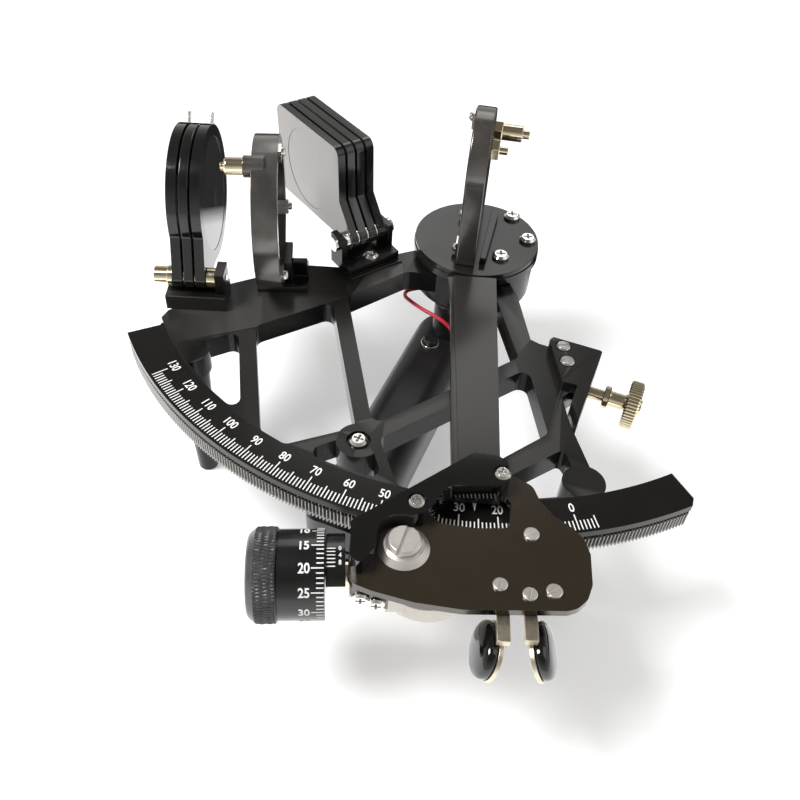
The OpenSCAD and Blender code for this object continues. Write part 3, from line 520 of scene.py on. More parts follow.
def boxes(centres: np.ndarray, along: np.ndarray, across: np.ndarray, up: np.ndarray,
          sizes: np.ndarray) -> Surface:
    """Many small bars at once: each corner is the centre plus or minus half a size along each axis.

    Args:
        centres: Centres, one row each.
        along: Unit vectors of the bars' lengths.
        across: Unit vectors of their widths.
        up: Unit vectors of their heights.
        sizes: Length, width and height of each bar.

    Returns:
        The corner points and the quads.
    """
    signs = np.array([[x, y, z] for z in (-1, 1) for y in (-1, 1) for x in (-1, 1)], float) / 2
    half = sizes[:, None, :] * signs[None, :, :]
    points = (centres[:, None, :] + half[..., 0:1] * along[:, None, :]
              + half[..., 1:2] * across[:, None, :] + half[..., 2:3] * up[:, None, :])
    quads = np.array([[0, 2, 3, 1], [4, 5, 7, 6], [0, 1, 5, 4], [2, 6, 7, 3], [0, 4, 6, 2], [1, 3, 7, 5]])
    faces = (np.arange(len(centres)) * 8)[:, None, None] + quads[None]
    return points.reshape(-1, 3), faces.reshape(-1, 4)


def turned(profile: Sequence[tuple[float, float]], sides: int,
           ripple: Callable[[np.ndarray, np.ndarray, np.ndarray], np.ndarray] | None = None,
           step: float = 0.0) -> Surface:
    """A turned solid about the local X axis: each profile point (x, r) sweeps a circle of radius r.

    Args:
        profile: Points (x, r) along the axis; the solid closes where r is 0.
        sides: Points around a circle.
        ripple: Gives a change of radius from x, r and the angle, for knurls and flutes.
        step: Longest distance between rings, 0 to keep the profile's own points.

    Returns:
        The points and the quads; make_mesh merges the quads at a closed end to triangles.
    """
    p = np.array(profile, float)
    if step > 0:
        parts = []
        for a, b in zip(p[:-1], p[1:]):
            n = max(1, int(math.ceil(np.linalg.norm(b - a) / step)))
            parts.append(a + (b - a) * (np.arange(n) / n)[:, None])
        p = np.vstack([*parts, p[-1:]])
    angle = np.linspace(0, 2 * math.pi, sides, endpoint=False)
    x = np.repeat(p[:, 0:1], sides, 1)
    r = np.repeat(p[:, 1:2], sides, 1)
    t = np.repeat(angle[None, :], len(p), 0)
    if ripple is not None:
        r = r + ripple(x, r, t)
    points = np.stack([x, r * np.cos(t), r * np.sin(t)], -1).reshape(-1, 3)
    return points, ring_faces(len(p), sides)


def smooth_through(knots: np.ndarray, values: np.ndarray, at: np.ndarray) -> np.ndarray:
    """A cubic curve through values: between two knots it keeps the slopes of the knots' neighbours.

    Args:
        knots: Rising parameters of the values.
        values: The values at the knots.
        at: Parameters wanted.

    Returns:
        The curve's values.
    """
    slope = np.gradient(values, knots)
    i = np.clip(np.searchsorted(knots, at, side="right") - 1, 0, len(knots) - 2)
    h = knots[i + 1] - knots[i]
    t = (at - knots[i]) / h
    a, b = values[i], values[i + 1]
    return ((2 * t**3 - 3 * t**2 + 1) * a + (t**3 - 2 * t**2 + t) * h * slope[i]
            + (3 * t**2 - 2 * t**3) * b + (t**3 - t**2) * h * slope[i + 1])


def put(name: str, data: bpy.types.ID) -> bpy.types.Object:
    """Puts a mesh, camera or lamp into the scene.

    Args:
        name: Name of the object.
        data: What it holds.

    Returns:
        The object.
    """
    thing = bpy.data.objects.new(name, data)
    bpy.context.scene.collection.objects.link(thing)
    return thing


def smooth(mesh: bpy.types.Mesh, angle: float) -> None:
    """Shades a mesh smooth, but for the edges that turn by more than an angle in degrees."""
    mesh.polygons.foreach_set("use_smooth", np.ones(len(mesh.polygons), bool))
    mesh.set_sharp_from_angle(angle=math.radians(angle))


def make_mesh(name: str, points: np.ndarray, faces: np.ndarray, place: Place,
              sharp: float = 30.0, clean: bool = True) -> bpy.types.Object:
    """Puts points and faces into a mesh object that sits at the origin.

    Args:
        name: Name of the object.
        points: Points in local millimetres.
        faces: Quads or triangles of point numbers.
        place: Local frame of the points.
        sharp: Edges with a greater angle than this stay sharp, in degrees.
        clean: Whether doubled points are merged and the normals turned outwards.

    Returns:
        The new object.
    """
    mesh = bpy.data.meshes.new(name)
    mesh.from_pydata(place.world(points), [], faces.tolist())
    if clean:
        bm = bmesh.new()
        bm.from_mesh(mesh)
        bmesh.ops.remove_doubles(bm, verts=bm.verts, dist=MERGE_NEW)
        bmesh.ops.recalc_face_normals(bm, faces=bm.faces)
        bm.to_mesh(mesh)
        bm.free()
    smooth(mesh, sharp)
    mesh.update()
    return put(name, mesh)


def dress(thing: bpy.types.Object, finish: Finish, body: str, slot: str, *nodes: str) -> bpy.types.Object:
    """Gives a new piece its finish and body, and hides the CAD nodes that it stands for.

    Args:
        thing: The new piece.
        finish: Its finish.
        body: CAD body that it rides on.
        slot: Material slot of the record; not used.
        nodes: CAD nodes that it replaces.

    Returns:
        The same piece.
    """
    thing.data.materials.clear()
    thing.data.materials.append(Paintbox.get(finish))
    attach(thing, body)
    if nodes:
        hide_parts(*nodes)
    log.info("%s rides on %s, finish %s", thing.name, body, finish.name)
    return thing


def body_of(node: str) -> str:
    """The CAD body that a node rides on."""
    return frame["nodes"][node]["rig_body"]


def slot_of(node: str) -> str:
    """The record's material slot of a node."""
    return next(s["material_slot"] for s in frame["record"]["subparts"] if s["node"] == node)


def repaint(finish: Finish, *nodes: str) -> None:
    """Gives CAD nodes that keep their own shape a finish.

    Args:
        finish: The finish.
        nodes: The nodes.
    """
    for node in nodes:
        data = frame["nodes"][node].data
        data.materials.clear()
        data.materials.append(Paintbox.get(finish))
        log.info("%s keeps its CAD shape, finish %s", node, finish.name)


def soften(node: str, finish: Finish, width: float, segments: int = 2) -> bpy.types.Object:
    """A copy of a CAD node with its loose triangles joined and its edges rounded.

    Args:
        node: CAD node that the copy stands for.
        finish: Finish of the copy.
        width: Width of the rounded edges in millimetres.
        segments: Number of faces across a rounded edge.

    Returns:
        The new piece.
    """
    mesh = frame["nodes"][node].data.copy()
    mesh.name = node + "_finished"
    if mesh.has_custom_normals:
        mesh.attributes.remove(mesh.attributes["custom_normal"])
    bm = bmesh.new()
    bm.from_mesh(mesh)
    bmesh.ops.remove_doubles(bm, verts=bm.verts, dist=MERGE_CAD)
    bmesh.ops.dissolve_limit(bm, angle_limit=math.radians(FLAT_ANGLE), verts=bm.verts, edges=bm.edges)
    bm.to_mesh(mesh)
    bm.free()
    smooth(mesh, EDGE_ANGLE)
    thing = put(mesh.name, mesh)
    bevel = thing.modifiers.new("rounded_edges", "BEVEL")
    bevel.width = width * MM
    bevel.segments = segments
    bevel.limit_method = "ANGLE"
    bevel.angle_limit = math.radians(EDGE_ANGLE)
    bevel.use_clamp_overlap = True
    bevel.harden_normals = True
    bevel.miter_outer = "MITER_ARC"
    weighted = thing.modifiers.new("flat_faces_stay_flat", "WEIGHTED_NORMAL")
    weighted.keep_sharp = True
    return dress(thing, finish, body_of(node), slot_of(node), node)


def numeral(text: str, height: float, squeeze: float, thick: float, bold: float) -> Surface:
    """A number as a thin mesh, centred on the origin, reading along X with its top towards Y.

    Args:
        text: Digits to write.
        height: Height of a digit in millimetres.
        squeeze: Width of the digits against the font's own.
        thick: Thickness in millimetres.
        bold: Growth of the strokes against the height.

    Returns:
        The points in millimetres and the triangles.
    """
    curve = bpy.data.curves.new("numeral", "FONT")
    curve.body = text
    curve.size = 1.0
    curve.extrude = 0.01
    curve.offset = bold
    curve.resolution_u = 4
    holder = bpy.data.objects.new("numeral", curve)
    mesh = bpy.data.meshes.new_from_object(holder)
    mesh.calc_loop_triangles()
    points = np.zeros(len(mesh.vertices) * 3)
    mesh.vertices.foreach_get("co", points)
    points = points.reshape(-1, 3)
    triangles = np.zeros(len(mesh.loop_triangles) * 3, int)
    mesh.loop_triangles.foreach_get("vertices", triangles)
    bpy.data.objects.remove(holder)
    bpy.data.curves.remove(curve)
    bpy.data.meshes.remove(mesh)
    low, high = points.min(0), points.max(0)
    points = points - (low + high) / 2
    size = height / (high[1] - low[1])
    points = points * np.array([size * squeeze, size, 1.0])
    points[:, 2] = np.sign(points[:, 2]) * thick / 2
    return points, triangles.reshape(-1, 3)


def joined(parts: Sequence[Surface]) -> Surface:
    """Several lists of points and faces as one.

    Args:
        parts: Pairs of points and faces with the same number of corners.

    Returns:
        All the points and all the faces.
    """
    starts = np.cumsum([0, *[len(p) for p, _ in parts[:-1]]])
    return np.vstack([p for p, _ in parts]), np.vstack([f + s for (_, f), s in zip(parts, starts)])


def looking(at: Sequence[float], target: Sequence[float], roll: float = 0.0) -> Matrix:
    """Stands a camera or lamp: back runs from target to it, right is level, both turn by the roll.

    Args:
        at: Where it stands, in metres.
        target: Where it looks, in metres.
        roll: Turn about its own line of sight in degrees.

    Returns:
        Its matrix.
    """
    back = np.array(at) - np.array(target)
    back /= np.linalg.norm(back)
    right = np.cross([0.0, 0.0, 1.0], back)
    right /= np.linalg.norm(right)
    up = np.cross(back, right)
    c, s = math.cos(math.radians(roll)), math.sin(math.radians(roll))
    m = np.eye(4)
    m[:3] = np.stack([c * right + s * up, c * up - s * right, back, at], 1)
    return Matrix(m)


# Sub-assemblies


@dataclass(frozen=True)
class Lamp:
    """A square soft lamp that faces the object.

    Attributes:
        name: Name of the lamp.
        at: Place in metres.
        size: Side in metres.
        watts: Power.
    """

    name: str
    at: Triple
    size: float
    watts: float


@dataclass
class Studio:
    """Floor, soft lamps, pale surroundings and the camera at the photograph's angle.

    The camera's places and the floor's half side are millimetres, its other lengths are metres.
    """

    eye: Triple = (78.2, -322.0, 308.9)
    target: Triple = (4.29, -105.9, 72.0)
    roll: float = 4.1577
    focal_pixels: float = 847.44
    picture: float = 800.0
    clip_start: float = 0.01
    clip_end: float = 20.0
    lamp_target: Triple = (0.0, -0.08, 0.07)
    lamps: tuple[Lamp, ...] = (Lamp("key_lamp", (-0.46, -0.4, 0.95), 0.34, 12.0),
                               Lamp("fill_lamp", (0.7, 0.1, 0.8), 0.7, 1.5),
                               Lamp("back_lamp", (-0.3, 0.8, 0.85), 0.5, 1.6))
    light_colour: Triple = (1.0, 0.985, 0.97)
    light_strength: float = 0.42
    gloss_ramp: tuple[tuple[float, Triple], ...] = (
        (0.05, (0.85, 0.84, 0.82)), (0.7, (0.155, 0.148, 0.138)))
    floor_half: float = 4000.0
    floor_colour: Triple = (0.82, 0.82, 0.82)
    floor_roughness: float = 0.9
    floor_specular: float = 0.1
    floor_lift: float = 0.3
    # Painted reflection: how much the floor glows in glossy rays, and where and how dark the sheet behind
    # the object is.
    floor_gloss: float = 0.7
    floor_end: float = 0.085
    floor_fade: float = 0.01
    floor_dark: Triple = (0.03, 0.03, 0.03)

    def camera(self) -> None:
        """Sets the camera; its lens is the focal length in pixels scaled to the sensor."""
        data = bpy.data.cameras.new("camera")
        data.lens = self.focal_pixels / self.picture * data.sensor_width
        data.clip_start = self.clip_start
        data.clip_end = self.clip_end
        camera = put("camera", data)
        camera.matrix_world = looking(np.array(self.eye) * MM, np.array(self.target) * MM, self.roll)
        bpy.context.scene.camera = camera

    def light(self, lamp: Lamp) -> None:
        """Puts a lamp into the scene.

        Args:
            lamp: The lamp.
        """
        data = bpy.data.lights.new(lamp.name, "AREA")
        data.size = lamp.size
        data.energy = lamp.watts
        put(lamp.name, data).matrix_world = looking(lamp.at, self.lamp_target)

    def surroundings(self) -> None:
        """A white world for the camera, and a softer one with a darker overhead for light and gloss."""
        world = bpy.data.worlds.new("studio")
        bpy.context.scene.world = world
        world.use_nodes = True
        tree = world.node_tree
        tree.nodes.clear()
        ray = add_node(tree, "LightPath").outputs
        shown = add_node(tree, "Background", {"Color": WHITE})
        light = add_node(tree, "Background", {
            "Color": (*self.light_colour, 1.0), "Strength": self.light_strength})
        direction = add_node(tree, "TexCoord").outputs["Generated"]
        height = add_node(tree, "SeparateXYZ", {"Vector": direction}).outputs["Z"]
        ramp = add_node(tree, "ValToRGB", {"Fac": height})
        for stop, (position, colour) in zip(ramp.color_ramp.elements, self.gloss_ramp):
            stop.position = position
            stop.color = (*colour, 1.0)
        gloss = add_node(tree, "Background", {"Color": ramp.outputs["Color"]})
        seen = maths(tree, "MAXIMUM", ray["Is Camera Ray"], ray["Is Transmission Ray"])
        unseen = add_node(tree, "MixShader", {
            "Fac": ray["Is Glossy Ray"], 1: light.outputs["Background"], 2: gloss.outputs["Background"]})
        both = add_node(tree, "MixShader", {
            "Fac": seen, 1: unseen.outputs["Shader"], 2: shown.outputs["Background"]})
        add_node(tree, "OutputWorld", {"Surface": both.outputs["Shader"]})

    def floor(self) -> None:
        """A wide white floor that keeps the shadows, with a painted reflection: glossy rays see it glow
        and, behind the object, a dark sheet.
        """
        half = self.floor_half
        points = np.array([[-half, -half, 0], [half, -half, 0], [half, half, 0], [-half, half, 0]])
        floor = make_mesh("floor", points, np.array([[0, 1, 2, 3]]), WORLD, clean=False)
        material = bpy.data.materials.new("white_floor")
        material.use_nodes = True
        tree = material.node_tree
        ray = add_node(tree, "LightPath").outputs
        lift = maths(tree, "MULTIPLY", ray["Is Camera Ray"], self.floor_lift)
        shader = principled(tree)
        # Painted reflection: glossy rays see the floor glow on top of its lit colour.
        wire(tree, shader, {
            "Base Color": (*self.floor_colour, 1.0), "Roughness": self.floor_roughness,
            "Specular IOR Level": self.floor_specular, "Emission Color": WHITE,
            "Emission Strength": maths(tree, "MULTIPLY_ADD", ray["Is Glossy Ray"], self.floor_gloss, lift)})
        # Painted reflection: behind the object glossy rays see a dark sheet in place of the floor, so shiny
        # faces show a dark upper part over a bright lower one.
        place = add_node(tree, "TexCoord").outputs["Object"]
        depth = add_node(tree, "SeparateXYZ", {"Vector": place}).outputs["Y"]
        behind = spread(tree, depth, 0.0, 1.0, self.floor_end - self.floor_fade,
                        self.floor_end + self.floor_fade)
        dark = maths(tree, "MULTIPLY", behind, ray["Is Glossy Ray"])
        painted_dark_reflection = add_node(tree, "BsdfDiffuse", {"Color": (*self.floor_dark, 1.0)})
        mix = add_node(tree, "MixShader", {
            "Fac": dark, 1: shader.outputs["BSDF"], 2: painted_dark_reflection.outputs["BSDF"]})
        out = next(n for n in tree.nodes if n.type == "OUTPUT_MATERIAL")
        wire(tree, out, {"Surface": mix.outputs["Shader"]})
        floor.data.materials.append(material)

    def build(self) -> None:
        """Makes the camera, lamps, world and floor."""
        self.camera()
        self.surroundings()
        self.floor()
        for lamp in self.lamps:
            self.light(lamp)
        bpy.context.scene.view_settings.view_transform = "Standard"
        log.info("studio ready")


@dataclass
class Arc:
    """Graduated arc: its ticks, its numbers and the unpainted metal rim."""

    tick_out: float = 160.8
    tick_short: float = 156.9
    tick_five: float = 155.6
    tick_ten: float = 154.3
    tick_width: float = 0.42
    paint: float = 0.06
    first: int = -5
    last: int = 130
    middle: float = 62.5
    number_radius: float = 151.3
    number_height: float = 3.7
    number_squeeze: float = 0.8
    number_bold: float = 0.012

    def angle(self, reading: np.ndarray | float) -> np.ndarray | float:
        """Direction of a reading from +X in radians: half a degree of arc for each degree read."""
        return np.radians(270.0 - (np.asarray(reading) - self.middle) / 2)

    def ticks(self) -> None:
        """Radial bars, one for each degree, longer at fives and tens."""
        reading = np.arange(self.first, self.last + 1)
        inner = np.where(reading % 10 == 0, self.tick_ten,
                         np.where(reading % 5 == 0, self.tick_five, self.tick_short))
        a = self.angle(reading)
        radial = np.stack([np.cos(a), np.sin(a), 0 * a], 1)
        across = np.stack([-np.sin(a), np.cos(a), 0 * a], 1)
        up = np.tile([0.0, 0.0, 1.0], (len(a), 1))
        sizes = np.stack([self.tick_out - inner, 0 * a + self.tick_width, 0 * a + self.paint], 1)
        centres = radial * ((self.tick_out + inner) / 2)[:, None]
        points, faces = boxes(centres, radial, across, up, sizes)
        dress(make_mesh("arc_ticks", points, faces, ARC_FACE), PAINT, "base", "arc_metal")

    def numbers(self) -> None:
        """Numbers every ten degrees, tops towards the pivot."""
        parts = []
        for reading in range(0, self.last + 1, 10):
            points, faces = numeral(str(reading), self.number_height, self.number_squeeze, self.paint,
                                    self.number_bold)
            a = float(self.angle(reading))
            turn = a + math.pi / 2
            c, s = math.cos(turn), math.sin(turn)
            spun = points @ np.array([[c, s, 0], [-s, c, 0], [0, 0, 1]])
            spun[:, :2] += self.number_radius * np.array([math.cos(a), math.sin(a)])
            parts.append((spun, faces))
        points, faces = joined(parts)
        dress(make_mesh("arc_numbers", points, faces, ARC_FACE), PAINT, "base", "arc_metal")

    def build(self) -> None:
        """Dresses the arc and draws its scale."""
        repaint(ARC_FINISH, "graduated_arc")
        self.ticks()
        self.numbers()


@dataclass
class FrameCasting:
    """Frame, legs, pivot bush and the screws that hold what stands on the frame."""

    edge: float = 0.6

    def build(self) -> None:
        """Rounds and dresses the castings."""
        for node in ("frame", "pivot_leg", "arc_legs"):
            soften(node, ENAMEL, self.edge)
        soften("pivot_bush", BRASS, 0.2)
        soften("frame_screws", CHROME, 0.15)


@dataclass
class Handle:
    """Battery grip under the frame with its posts, cap, switch and lamp lead."""

    lead_radius: float = 0.9
    lead_closed: float = 1e-6
    lead_rings: int = 97
    lead_sides: int = 16
    lead_leaning: Triple = (0.3, -0.5, 0.8)
    lead_route: tuple[Triple, ...] = (
        (-16, -14, -17.2), (-19, -14.5, -18.5), (-23, -15.5, -20), (-26.3, -18.5, -20.5),
        (-25.5, -22.3, -20.3), (-22.2, -24.8, -20), (-17.5, -27, -20), (-13.1, -28.7, -20),
        (-7, -30.2, -20.3), (-2, -30.9, -22), (1.5, -30.6, -25.5), (3.4, -30.2, -30), (4, -30, -34.7))

    def lead(self) -> None:
        """The lead as a round tube along its route, carried by two axes square to its run."""
        route = np.array(self.lead_route, float) + [0, 0, SCALE_Z]
        knots = np.concatenate([[0], np.cumsum(np.linalg.norm(np.diff(route, axis=0), axis=1))])
        fine = np.linspace(0, knots[-1], self.lead_rings)
        path = np.stack([smooth_through(knots, route[:, k], fine) for k in range(3)], 1)
        run = np.gradient(path, axis=0)
        run /= np.linalg.norm(run, axis=1)[:, None]
        side = np.cross(run, self.lead_leaning)
        side /= np.linalg.norm(side, axis=1)[:, None]
        other = np.cross(run, side)
        t = np.linspace(0, 2 * math.pi, self.lead_sides, endpoint=False)
        ring = np.cos(t)[None, :, None] * side[:, None] + np.sin(t)[None, :, None] * other[:, None]
        radius = np.full(len(path), self.lead_radius)
        radius[[0, -1]] = self.lead_closed
        points = (path[:, None] + ring * radius[:, None, None]).reshape(-1, 3)
        tube = make_mesh("lamp_lead_tube", points, ring_faces(len(path), self.lead_sides), WORLD, 60.0)
        dress(tube, LEAD, "base", "lead_red", "lamp_lead")

    def build(self) -> None:
        """Rounds and dresses the grip and makes the lead."""
        soften("handle_grip", GRIP, 0.8, 3)
        soften("battery_cap", GRIP, 0.8, 3)
        soften("handle_posts", ENAMEL, 0.4)
        soften("switch_ring", CHROME, 0.3)
        soften("light_switch", GRIP, 0.6)
        self.lead()


@dataclass
class HorizonGroup:
    """Horizon mirror with its bracket, clips and adjuster, and the three shades in front of it."""

    shade_edge: float = 1.6

    def build(self) -> None:
        """Rounds and dresses the pieces."""
        soften("horizon_mirror_bracket", ENAMEL, 0.5)
        soften("horizon_mirror_frame", RING_ENAMEL, 0.9, 4)
        soften("horizon_mirror_clips", CHROME, 0.15)
        soften("horizon_mirror_adjusters", BRASS, 0.25)
        soften("horizon_shade_block", ENAMEL, 0.5)
        soften("horizon_shade_pin", BRASS, 0.4)
        # The horizon mirror's glass carries a painted reflection: pale and half diffuse.
        repaint(HALF_SILVERED_WITH_PAINTED_REFLECTION, "horizon_mirror")
        for k in (1, 2, 3):
            soften(f"horizon_shade_{k}", SHADE_ENAMEL, self.shade_edge, 5)
            repaint(SHADE_GLASS, f"horizon_shade_glass_{k}")
        for k in (1, 3):
            soften(f"shade_pull_{k}", CHROME, 0.2)


@dataclass
class IndexShades:
    """Four square shades on one pin in front of the index mirror."""

    edge: float = 0.9

    def build(self) -> None:
        """Rounds and dresses the pieces."""
        soften("index_shade_block", ENAMEL, 0.5)
        soften("index_shade_pin", CHROME, 0.25)
        # The first shade carries a painted reflection on its face and glass.
        soften("index_shade_1", SHADE_WITH_PAINTED_REFLECTION, self.edge, 3)
        repaint(GLASS_WITH_PAINTED_REFLECTION, "index_shade_glass_1")
        for k in (2, 3, 4):
            soften(f"index_shade_{k}", SHADE_ENAMEL, self.edge, 3)
            repaint(SHADE_GLASS, f"index_shade_glass_{k}")


@dataclass
class IndexArm:
    """Index arm with its spindle, the index mirror and the arm's screws."""

    pointer_tip: float = -153.2
    pointer_base: float = -149.2
    pointer_width: float = 1.7
    pointer_x: float = -1.1
    pointer_low: float = 1.0
    pointer_high: float = 1.4

    def pointer(self) -> None:
        """A white arrowhead under the window: a flat triangle with a thin edge."""
        x, w = self.pointer_x, self.pointer_width / 2
        flat = np.array([[x - w, self.pointer_base], [x + w, self.pointer_base], [x, self.pointer_tip]])
        points = np.vstack([np.c_[flat, np.full(3, z)] for z in (self.pointer_low, self.pointer_high)])
        faces = np.array([[2, 1, 0], [3, 4, 5], [0, 1, 4], [0, 4, 3],
                          [1, 2, 5], [1, 5, 4], [2, 0, 3], [2, 3, 5]])
        dress(make_mesh("index_pointer", points, faces, ARM), PAINT, "arm", "frame_enamel")

    def build(self) -> None:
        """Rounds and dresses the pieces."""
        soften("index_arm", ARM_ENAMEL, 0.4)
        soften("pivot_spindle", STEEL, 0.3)
        soften("mirror_base", ARM_ENAMEL, 0.4)
        soften("arm_screws", CHROME, 0.15)
        soften("index_mirror_frame", RING_ENAMEL, 0.8, 4)
        repaint(MIRROR, "index_mirror")
        soften("index_mirror_clips", CHROME, 0.15)
        soften("index_mirror_adjusters", BRASS, 0.25)
        self.pointer()


@dataclass
class EndPlate:
    """End plate with its glossy cover, its screws and the big pivot screw of the carriage."""

    cover_edge: float = 2.2

    def build(self) -> None:
        """Rounds and dresses the pieces."""
        soften("end_plate", PLATE_FINISH, 0.5)
        soften("arm_cover", COVER, self.cover_edge, 5)
        soften("plate_screws", NICKEL, 0.12)
        soften("carriage_pivot_screw", NICKEL, 0.25, 3)


@dataclass
class Micrometer:
    """Worm carriage, worm, vernier sleeve and the drum with its scale.

    Lengths along the worm's axis count from its middle towards the drum, which is -X.
    """

    start: float = 67.9
    body_length: float = 15.8
    body_radius: float = 15.2
    body_sides: int = 160
    knurl_length: float = 9.6
    knurl_radius: float = 16.1
    knurl_depth: float = 0.36
    knurl_teeth: int = 84
    knurl_lean: float = 20.0
    knurl_edge: float = 0.2
    knurl_sides: int = 736
    knurl_step: float = 0.35
    shaft: float = 3.0
    zero: float = 85.0
    paint: float = 0.06
    number_squeeze: float = 0.85
    number_bold: float = 0.022
    minutes: int = 60
    middle_minute: int = 15
    tick_gap: float = 0.25
    tick_long: float = 4.1
    tick_short: float = 2.4
    tick_width: float = 0.42
    number_gap: float = 6.6
    number_height: float = 3.4
    sleeve_radius: float = 13.5
    vernier_start: float = 67.4
    vernier_step: float = 5.4
    vernier_tick: float = 2.9
    vernier_tick_width: float = 0.36
    vernier_number: float = 63.0
    vernier_number_height: float = 1.7

    def knurl(self, x: np.ndarray, r: np.ndarray, t: np.ndarray) -> np.ndarray:
        """Two crossed sets of grooves on the knurled end: the deeper of two leaning waves.

        Args:
            x: Places along the axis.
            r: Radii.
            t: Angles.

        Returns:
            The changes of radius.
        """
        lean = self.knurl_lean * x / self.knurl_radius
        first = np.cos(self.knurl_teeth * t + lean)
        second = np.cos(self.knurl_teeth * t - lean)
        on_knurl = (r > self.knurl_radius - self.knurl_edge).astype(float)
        return -self.knurl_depth * on_knurl * (1 - np.minimum(first, second)) / 2

    def drum(self) -> None:
        """The drum's graduated body and its knurled end as two turned solids."""
        e = self.start + self.body_length
        far = e + self.knurl_length
        r, k = self.body_radius, self.knurl_radius
        body = [(-self.start, self.shaft), (-self.start, r - 0.3), (-self.start - 0.3, r), (-e + 0.5, r),
                (-e + 0.3, r - 0.35), (-e, r - 0.35), (-e, self.shaft)]
        points, faces = turned(body, self.body_sides)
        graduated = make_mesh("drum_body", points, faces, WORM)
        dress(graduated, DRUM_BLACK, "drum", "drum_black", "micrometer_drum")
        end = [(-e, self.shaft), (-e, k - 0.5), (-e - 0.5, k), (-far + 3.0, k), (-far + 2.6, k - 0.3),
               (-far + 0.6, k - 1.9), (-far, k - 2.7), (-far, 9.0), (-far + 0.4, 8.6), (-far + 0.4, 0.0)]
        points, faces = turned(end, self.knurl_sides, self.knurl, self.knurl_step)
        dress(make_mesh("drum_knurl", points, faces, WORM), KNURL_BLACK, "drum", "drum_black")

    def around(self, x: np.ndarray, degrees: np.ndarray, radius: np.ndarray | float) -> np.ndarray:
        """Points on a cylinder about the worm's axis: Y and Z are the radius times cosine and sine."""
        a = np.radians(degrees)
        return np.stack([x, radius * np.cos(a), radius * np.sin(a)], -1)

    def ring_bars(self, name: str, degrees: np.ndarray, x0: np.ndarray, x1: np.ndarray, radius: float,
                  width: float, body: str) -> None:
        """Painted bars on a cylinder, each along the axis.

        Args:
            name: Name of the piece.
            degrees: Angle of each bar.
            x0: Its start along the axis.
            x1: Its end along the axis.
            radius: Radius of the cylinder.
            width: Width of a bar.
            body: CAD body of the piece.
        """
        a = np.radians(degrees)
        up = np.stack([0 * a, np.cos(a), np.sin(a)], 1)
        across = np.stack([0 * a, -np.sin(a), np.cos(a)], 1)
        along = np.tile([1.0, 0.0, 0.0], (len(a), 1))
        centres = self.around((x0 + x1) / 2, degrees, radius)
        sizes = np.stack([np.abs(x1 - x0), 0 * a + width, 0 * a + self.paint], 1)
        points, faces = boxes(centres, along, across, up, sizes)
        dress(make_mesh(name, points, faces, WORM), PAINT, body, "drum_black")

    def ring_numbers(self, name: str, labels: Sequence[tuple[str, float]], x: float, radius: float,
                     height: float, body: str) -> None:
        """Painted numbers on a cylinder: a digit's height runs round the axis.

        The paint is thicker by twice the rise of the curve, so that no straight stroke sinks into it.

        Args:
            name: Name of the piece.
            labels: Texts with their angles in degrees.
            x: Place along the axis of the numbers' middles.
            radius: Radius of the cylinder.
            height: Height of a digit.
            body: CAD body of the piece.
        """
        parts = []
        thick = self.paint + height ** 2 / (4 * radius)
        for text, degrees in labels:
            flat, faces = numeral(text, height, self.number_squeeze, thick, self.number_bold)
            turn = degrees - np.degrees(flat[:, 1] / radius)
            parts.append((self.around(x + flat[:, 0], turn, radius + flat[:, 2]), faces))
        points, faces = joined(parts)
        dress(make_mesh(name, points, faces, WORM), PAINT, body, "drum_black")

    def minute_angle(self, minute: np.ndarray | int) -> np.ndarray | float:
        """Angle in degrees of a minute's tick on the drum at rest."""
        return self.zero + (minute - self.middle_minute) * 360.0 / self.minutes

    def scales(self) -> None:
        """Sixty minutes round the drum and the short vernier on the sleeve."""
        minute = np.arange(self.minutes)
        edge = np.full(self.minutes, -self.start - self.tick_gap)
        length = np.where(minute % 5 == 0, self.tick_long, self.tick_short)
        self.ring_bars("drum_ticks", self.minute_angle(minute), edge, edge - length, self.body_radius,
                       self.tick_width, "drum")
        labels = [(str(m), self.minute_angle(m)) for m in range(0, self.minutes, 5)]
        self.ring_numbers("drum_numbers", labels, -self.start - self.number_gap, self.body_radius,
                          self.number_height, "drum")
        degrees = self.zero + np.arange(6) * self.vernier_step
        edge = np.full(6, -self.vernier_start)
        self.ring_bars("vernier_ticks", degrees, edge, edge + self.vernier_tick, self.sleeve_radius,
                       self.vernier_tick_width, "carriage")
        labels = [(text, float(degrees[k])) for text, k in (("0", 0), ("4", 2), ("8", 4))]
        self.ring_numbers("vernier_numbers", labels, -self.vernier_number, self.sleeve_radius,
                          self.vernier_number_height, "carriage")

    def build(self) -> None:
        """Makes the drum and its scales and dresses the rest."""
        soften("worm_carriage", CREAM, 1.0, 3)
        soften("worm_bush", BRASS, 0.2)
        soften("vernier_sleeve", DRUM_BLACK, 0.3)
        repaint(STEEL, "worm")
        self.drum()
        self.scales()


@dataclass(frozen=True)
class Pad:
    """Place of a release pad.

    Attributes:
        side: Left or right.
        at: Middle of its flat back in the arm's frame.
        out: 1 where the dome points to -X, -1 where it points to +X.
        lean: Lean from upright in degrees.
    """

    side: str
    at: Triple
    out: int
    lean: float


